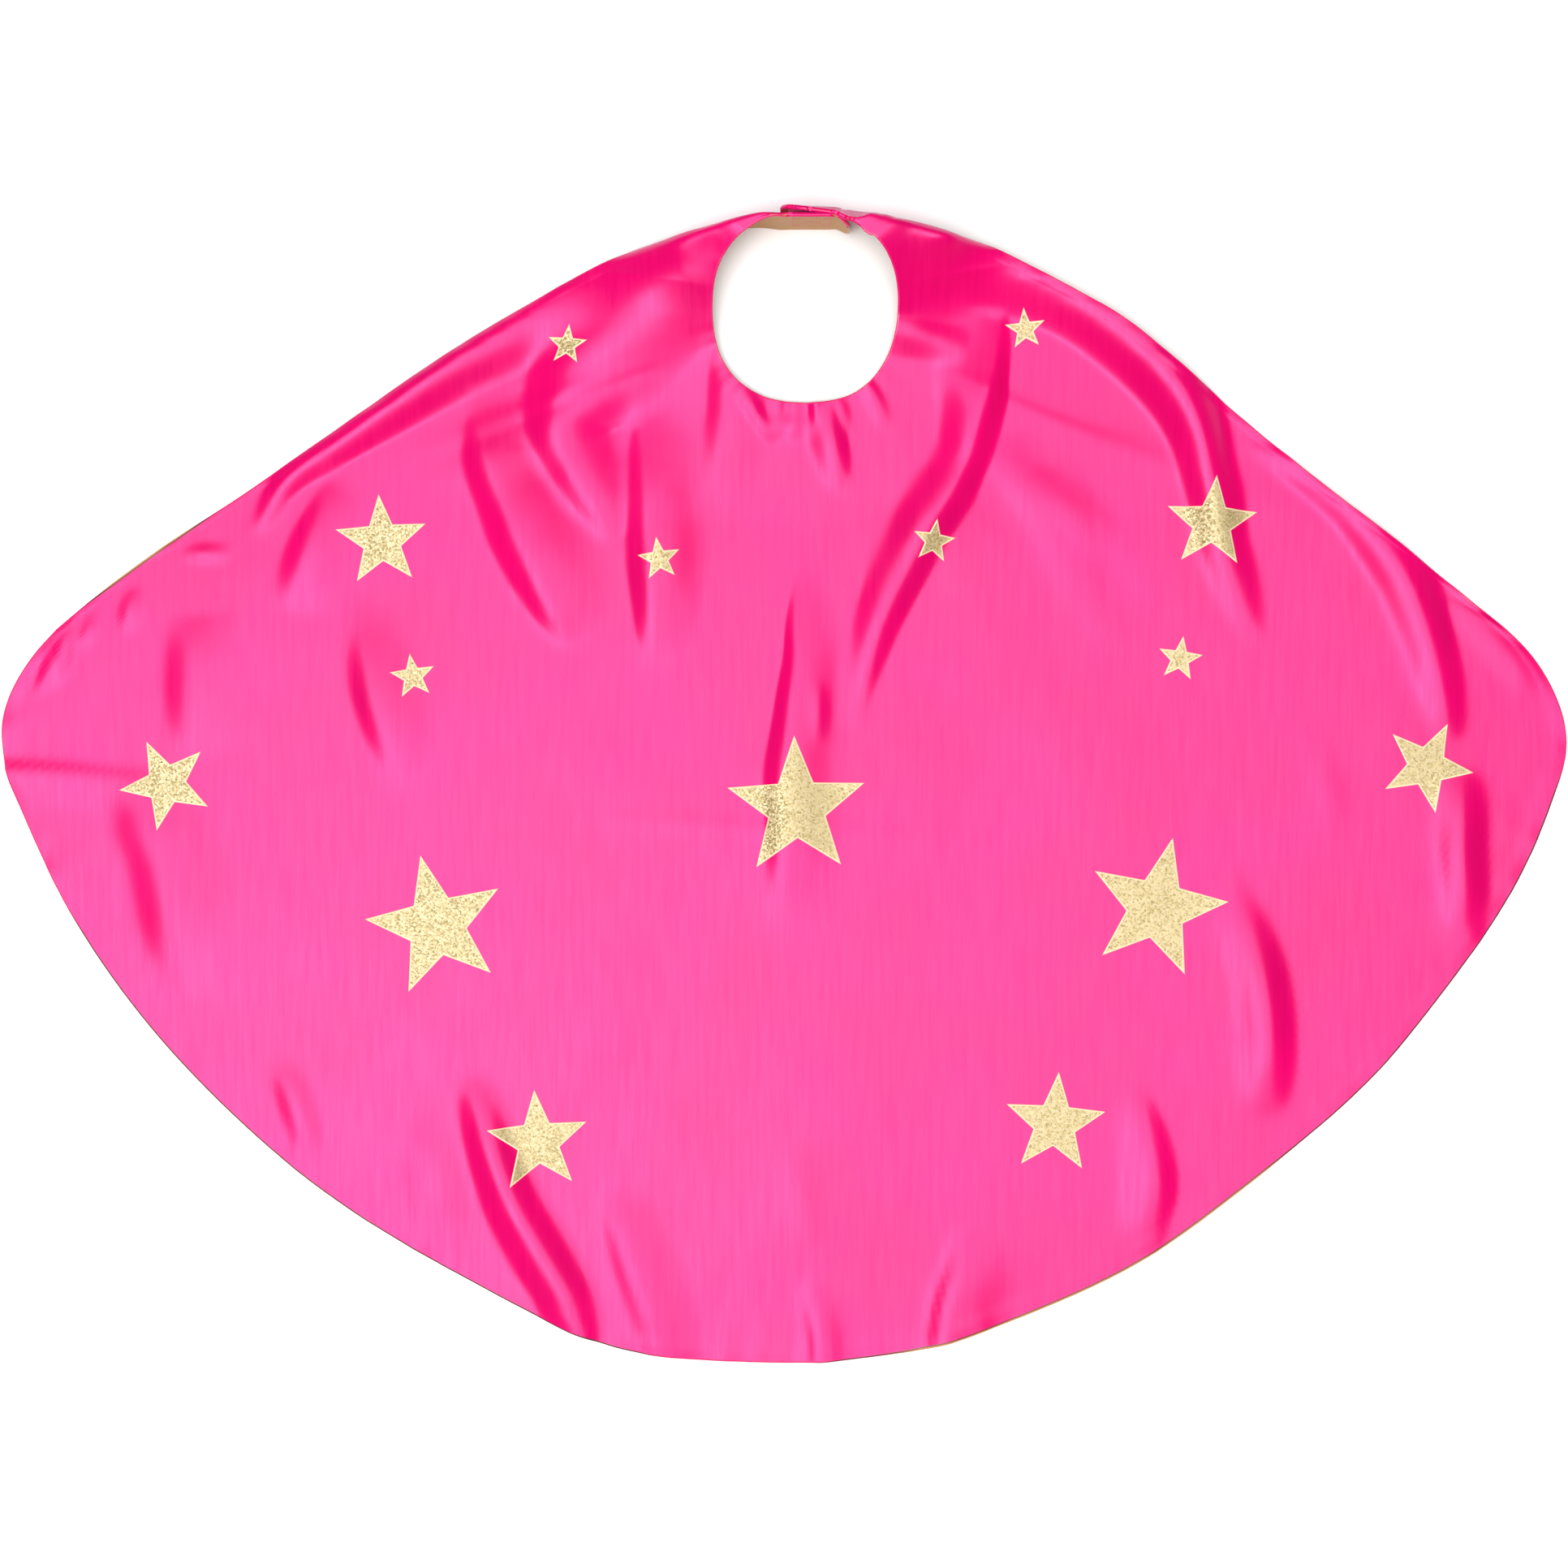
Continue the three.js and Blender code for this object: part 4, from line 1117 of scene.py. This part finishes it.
def hook_mesh(length, thickness):
    """One moulded hook: a stem along -Y whose end turns back."""
    shape = bmesh.new()
    bmesh.ops.create_circle(shape, cap_ends=True, segments=5, radius=thickness,
                            matrix=Matrix.Rotation(math.radians(90), 4, "X"))
    base = list(shape.faces)
    stem = bmesh.ops.extrude_face_region(shape, geom=base)["geom"]
    verts = [g for g in stem if isinstance(g, bmesh.types.BMVert)]
    bmesh.ops.translate(shape, verts=verts, vec=(0, -length * 0.6, 0))
    end = [g for g in stem if isinstance(g, bmesh.types.BMFace)]
    bmesh.ops.spin(shape, geom=end, cent=(0, -length * 0.6, -length * 0.35), axis=(1, 0, 0),
                   angle=math.radians(200), steps=4, use_merge=False)
    bmesh.ops.remove_doubles(shape, verts=shape.verts, dist=1e-6)
    bmesh.ops.recalc_face_normals(shape, faces=shape.faces)
    return finished_mesh("hook", shape)


def loop_mesh(radius, thickness):
    """One loop of brushed yarn: an arch that stands on XZ and rises along +Y."""
    shape = bmesh.new()
    upright = Matrix.Translation((radius, 0, 0)) @ Matrix.Rotation(math.radians(90), 4, "X")
    bmesh.ops.create_circle(shape, cap_ends=True, segments=4, radius=thickness, matrix=upright)
    bmesh.ops.spin(shape, geom=list(shape.faces), cent=(0, 0, 0), axis=(0, 0, 1),
                   angle=math.pi, steps=6, use_merge=False)
    bmesh.ops.recalc_face_normals(shape, faces=shape.faces)
    return finished_mesh("loop", shape)


def scatter(shape, mesh, places):
    """Adds a copy of a small mesh at each (place, turn about Y)."""
    for place, turn in places:
        there = Matrix.Translation(place) @ Matrix.Rotation(turn, 4, "Y")
        mesh.transform(there)
        shape.from_mesh(mesh)
        mesh.transform(there.inverted())
    bpy.data.meshes.remove(mesh)


def field_places(low, high, spacing, y, seed, jitter):
    """Staggered places over a plate's face, with a random turn at each."""
    random = np.random.default_rng(seed)
    columns = int((high.x - low.x) / spacing)
    rows = int((high.z - low.z) / spacing)
    for row in range(rows):
        for column in range(columns):
            x = low.x + (column + 0.5 + 0.25 * (-1) ** row) * spacing
            z = low.z + (row + 0.5) * spacing
            dx, dz = random.uniform(-jitter, jitter, 2) * spacing
            yield Vector((x + dx, y, z + dz)), random.uniform(-1, 1) * math.pi * jitter


class CAPE_OT_patches(bpy.types.Operator):
    """Make the hook patch and the loop patch between the tabs"""

    bl_idname = "cape.patches"
    bl_label = "Hook and loop patches"

    def execute(self, context):
        sizes = context.scene.cape_sizes
        tape = woven_tape("nylon_tape_woven", tuple(context.scene.cape_colours.tape))
        inset = Vector((PATCH_MARGIN, 0, PATCH_MARGIN))
        for node, body in (("hook_patch", "outer_tab"), ("loop_patch", "inner_tab")):
            low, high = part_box(node)
            shape = plate_shape(low, high, PATCH_CORNER)
            if node == "hook_patch":
                places = field_places(low + inset, high - inset, sizes.hook_spacing,
                                      low.y, 31, 0.05)
                scatter(shape, hook_mesh(1.0 * MM, 0.13 * MM), places)
            else:
                places = field_places(low + inset, high - inset, sizes.hook_spacing * 0.8,
                                      high.y - 0.05 * MM, 32, 0.45)
                scatter(shape, loop_mesh(0.75 * MM, 0.09 * MM), places)
            patch = add_piece(node + "_tape", shape, [tape], "closure_tape", [node])
            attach(patch, body)
        return {"FINISHED"}


def stitch_line(low, high, length):
    """Places and turns of the stitches round an upright rectangle, and across its corners."""
    corners = [(low.x, low.z), (high.x, low.z), (high.x, high.z), (low.x, high.z)]
    sides = list(zip(corners, corners[1:] + corners[:1]))
    sides += [(corners[0], corners[2]), (corners[1], corners[3])]
    for (x1, z1), (x2, z2) in sides:
        run = math.hypot(x2 - x1, z2 - z1)
        count = max(round(run / length), 1)
        for step in range(count):
            share = (step + 0.5) / count
            yield x1 + (x2 - x1) * share, z1 + (z2 - z1) * share, math.atan2(z1 - z2, x2 - x1)


class CAPE_OT_patch_stitches(bpy.types.Operator):
    """Make the stitches that hold the patches to the tabs"""

    bl_idname = "cape.patch_stitches"
    bl_label = "Patch stitches"

    def execute(self, context):
        length = context.scene.cape_sizes.stitch_length
        thread = sewing_thread("polyester_thread_spun", tuple(context.scene.cape_colours.thread))
        for patch, body in (("hook_patch", "outer_tab"), ("loop_patch", "inner_tab")):
            node = patch + "_stitches"
            low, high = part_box(node)
            face = (low.y + high.y) / 2
            # the same seam shows on the far face of the tab
            if body == "outer_tab":
                tree, start, way = surface_tree("shell_" + body), 1.0, -1
            else:
                tree, start, way = surface_tree("lining_" + body), -1.0, 1
            shape = bmesh.new()
            for x, z, turn in stitch_line(low, high, length):
                hit = tree.ray_cast(Vector((x, start, z)), Vector((0, way, 0)))
                # the far stitches sink into the cloth
                for y in (face, hit[0].y + way * 0.05 * MM):
                    made = bmesh.ops.create_uvsphere(shape, u_segments=6, v_segments=5, radius=1)
                    verts = made["verts"]
                    bmesh.ops.scale(shape, verts=verts, vec=(length * 0.42, 0.2 * MM, 0.25 * MM))
                    bmesh.ops.rotate(shape, verts=verts, cent=(0, 0, 0),
                                     matrix=Matrix.Rotation(turn, 3, "Y"))
                    bmesh.ops.translate(shape, verts=verts, vec=(x, y, z))
            stitches = add_piece(node + "_thread", shape, [thread], "thread", [node])
            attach(stitches, body)
        return {"FINISHED"}


# Soft panels: name, place, width and length (m) and power (W). The first one just fills the view
# that flat satin has overhead, and the steeper sides of the folds look past it. The second one
# adds a little towards the lower left.
PANELS = [("overhead_panel", (-0.35, -0.45, 6), (5.8, 4.6), 480),
          ("lower_left_panel", (-1.9, -1.9, 5.9), (3.6, 2.8), 130)]
WORLD_STRENGTH = 0.08
CAMERA_Y = 3.5 * MM
VIEW_MARGIN = 1.003  # width of the view over the width of the cape


class CAPE_OT_stage(bpy.types.Operator):
    """Make the surface, the soft light and the camera, and set how colours are shown"""

    bl_idname = "cape.stage"
    bl_label = "Stage"

    def execute(self, context):
        scene = context.scene
        shape = bmesh.new()
        bmesh.ops.create_grid(shape, x_segments=1, y_segments=1, size=6)
        bmesh.ops.translate(shape, verts=shape.verts, vec=(0, 0, -0.15 * MM))
        mesh = finished_mesh("paper_surface", shape)
        mesh.materials.append(matt_paper("paper_matt", tuple(scene.cape_colours.floor)))
        floor = bpy.data.objects.new("paper_surface", mesh)
        scene.collection.objects.link(floor)
        for panel in PANELS:
            self.add_light(*panel)
        world = bpy.data.worlds.new("studio")
        world.use_nodes = True
        background = world.node_tree.nodes["Background"]
        background.inputs["Color"].default_value = (1, 1, 1, 1)
        background.inputs["Strength"].default_value = WORLD_STRENGTH
        scene.world = world
        scene.view_settings.view_transform = "Standard"
        self.add_camera(scene)
        return {"FINISHED"}

    def add_light(self, name, place, size, power):
        data = bpy.data.lights.new(name, "AREA")
        data.shape = "RECTANGLE"
        data.size, data.size_y = size
        data.energy = power
        light = bpy.data.objects.new(name, data)
        light.location = place
        light.visible_camera = False
        bpy.context.scene.collection.objects.link(light)

    def add_camera(self, scene):
        """Straight above the middle of the cape, which nearly fills the width of the view."""
        low, high = CAD_BOX
        height = scene.cape_sizes.camera_height
        data = bpy.data.cameras.new("overhead_camera")
        data.sensor_width = 36
        data.lens = data.sensor_width * height / ((high.x - low.x) * VIEW_MARGIN)
        camera = bpy.data.objects.new("overhead_camera", data)
        camera.location = (0, CAMERA_Y, height)
        scene.collection.objects.link(camera)
        scene.camera = camera


def declare_sheets():
    """Works out the length of each tab along its middle ring; the lengths are not used."""
    for part in TABS:
        along = tab_length(part)


def tab_length(part):
    cape = cape_cloth(bpy.context.scene.cape_sizes.fold_height)
    middle = cape.points.shape[1] // 2
    return float(lengths_along(cape.points[cape.parts[part], middle])[-1])


class CAPE_PT_panel(bpy.types.Panel):
    bl_label = "Superhero cape"
    bl_idname = "CAPE_PT_panel"
    bl_space_type = "VIEW_3D"
    bl_region_type = "UI"
    bl_category = "Cape"

    def draw(self, context):
        layout = self.layout
        for group in (context.scene.cape_sizes, context.scene.cape_colours):
            for name in group.__annotations__:
                layout.prop(group, name)
        for operator in OPERATORS:
            layout.operator(operator.bl_idname)


OPERATORS = (CAPE_OT_shell, CAPE_OT_lining, CAPE_OT_rolled_edges, CAPE_OT_stars,
             CAPE_OT_patches, CAPE_OT_patch_stitches, CAPE_OT_stage)
CLASSES = (CapeSizes, CapeColours, *OPERATORS, CAPE_PT_panel)


def register():
    for item in CLASSES:
        bpy.utils.register_class(item)
    bpy.types.Scene.cape_sizes = bpy.props.PointerProperty(type=CapeSizes)
    bpy.types.Scene.cape_colours = bpy.props.PointerProperty(type=CapeColours)


def unregister():
    del bpy.types.Scene.cape_colours
    del bpy.types.Scene.cape_sizes
    for item in reversed(CLASSES):
        bpy.utils.unregister_class(item)


def main():
    register()
    bpy.ops.cape.shell()
    bpy.ops.cape.lining()
    bpy.ops.cape.rolled_edges()
    bpy.ops.cape.stars()
    bpy.ops.cape.patches()
    bpy.ops.cape.patch_stitches()
    bpy.ops.cape.stage()
    declare_sheets()
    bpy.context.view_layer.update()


if __name__ == "__main__":
    main()
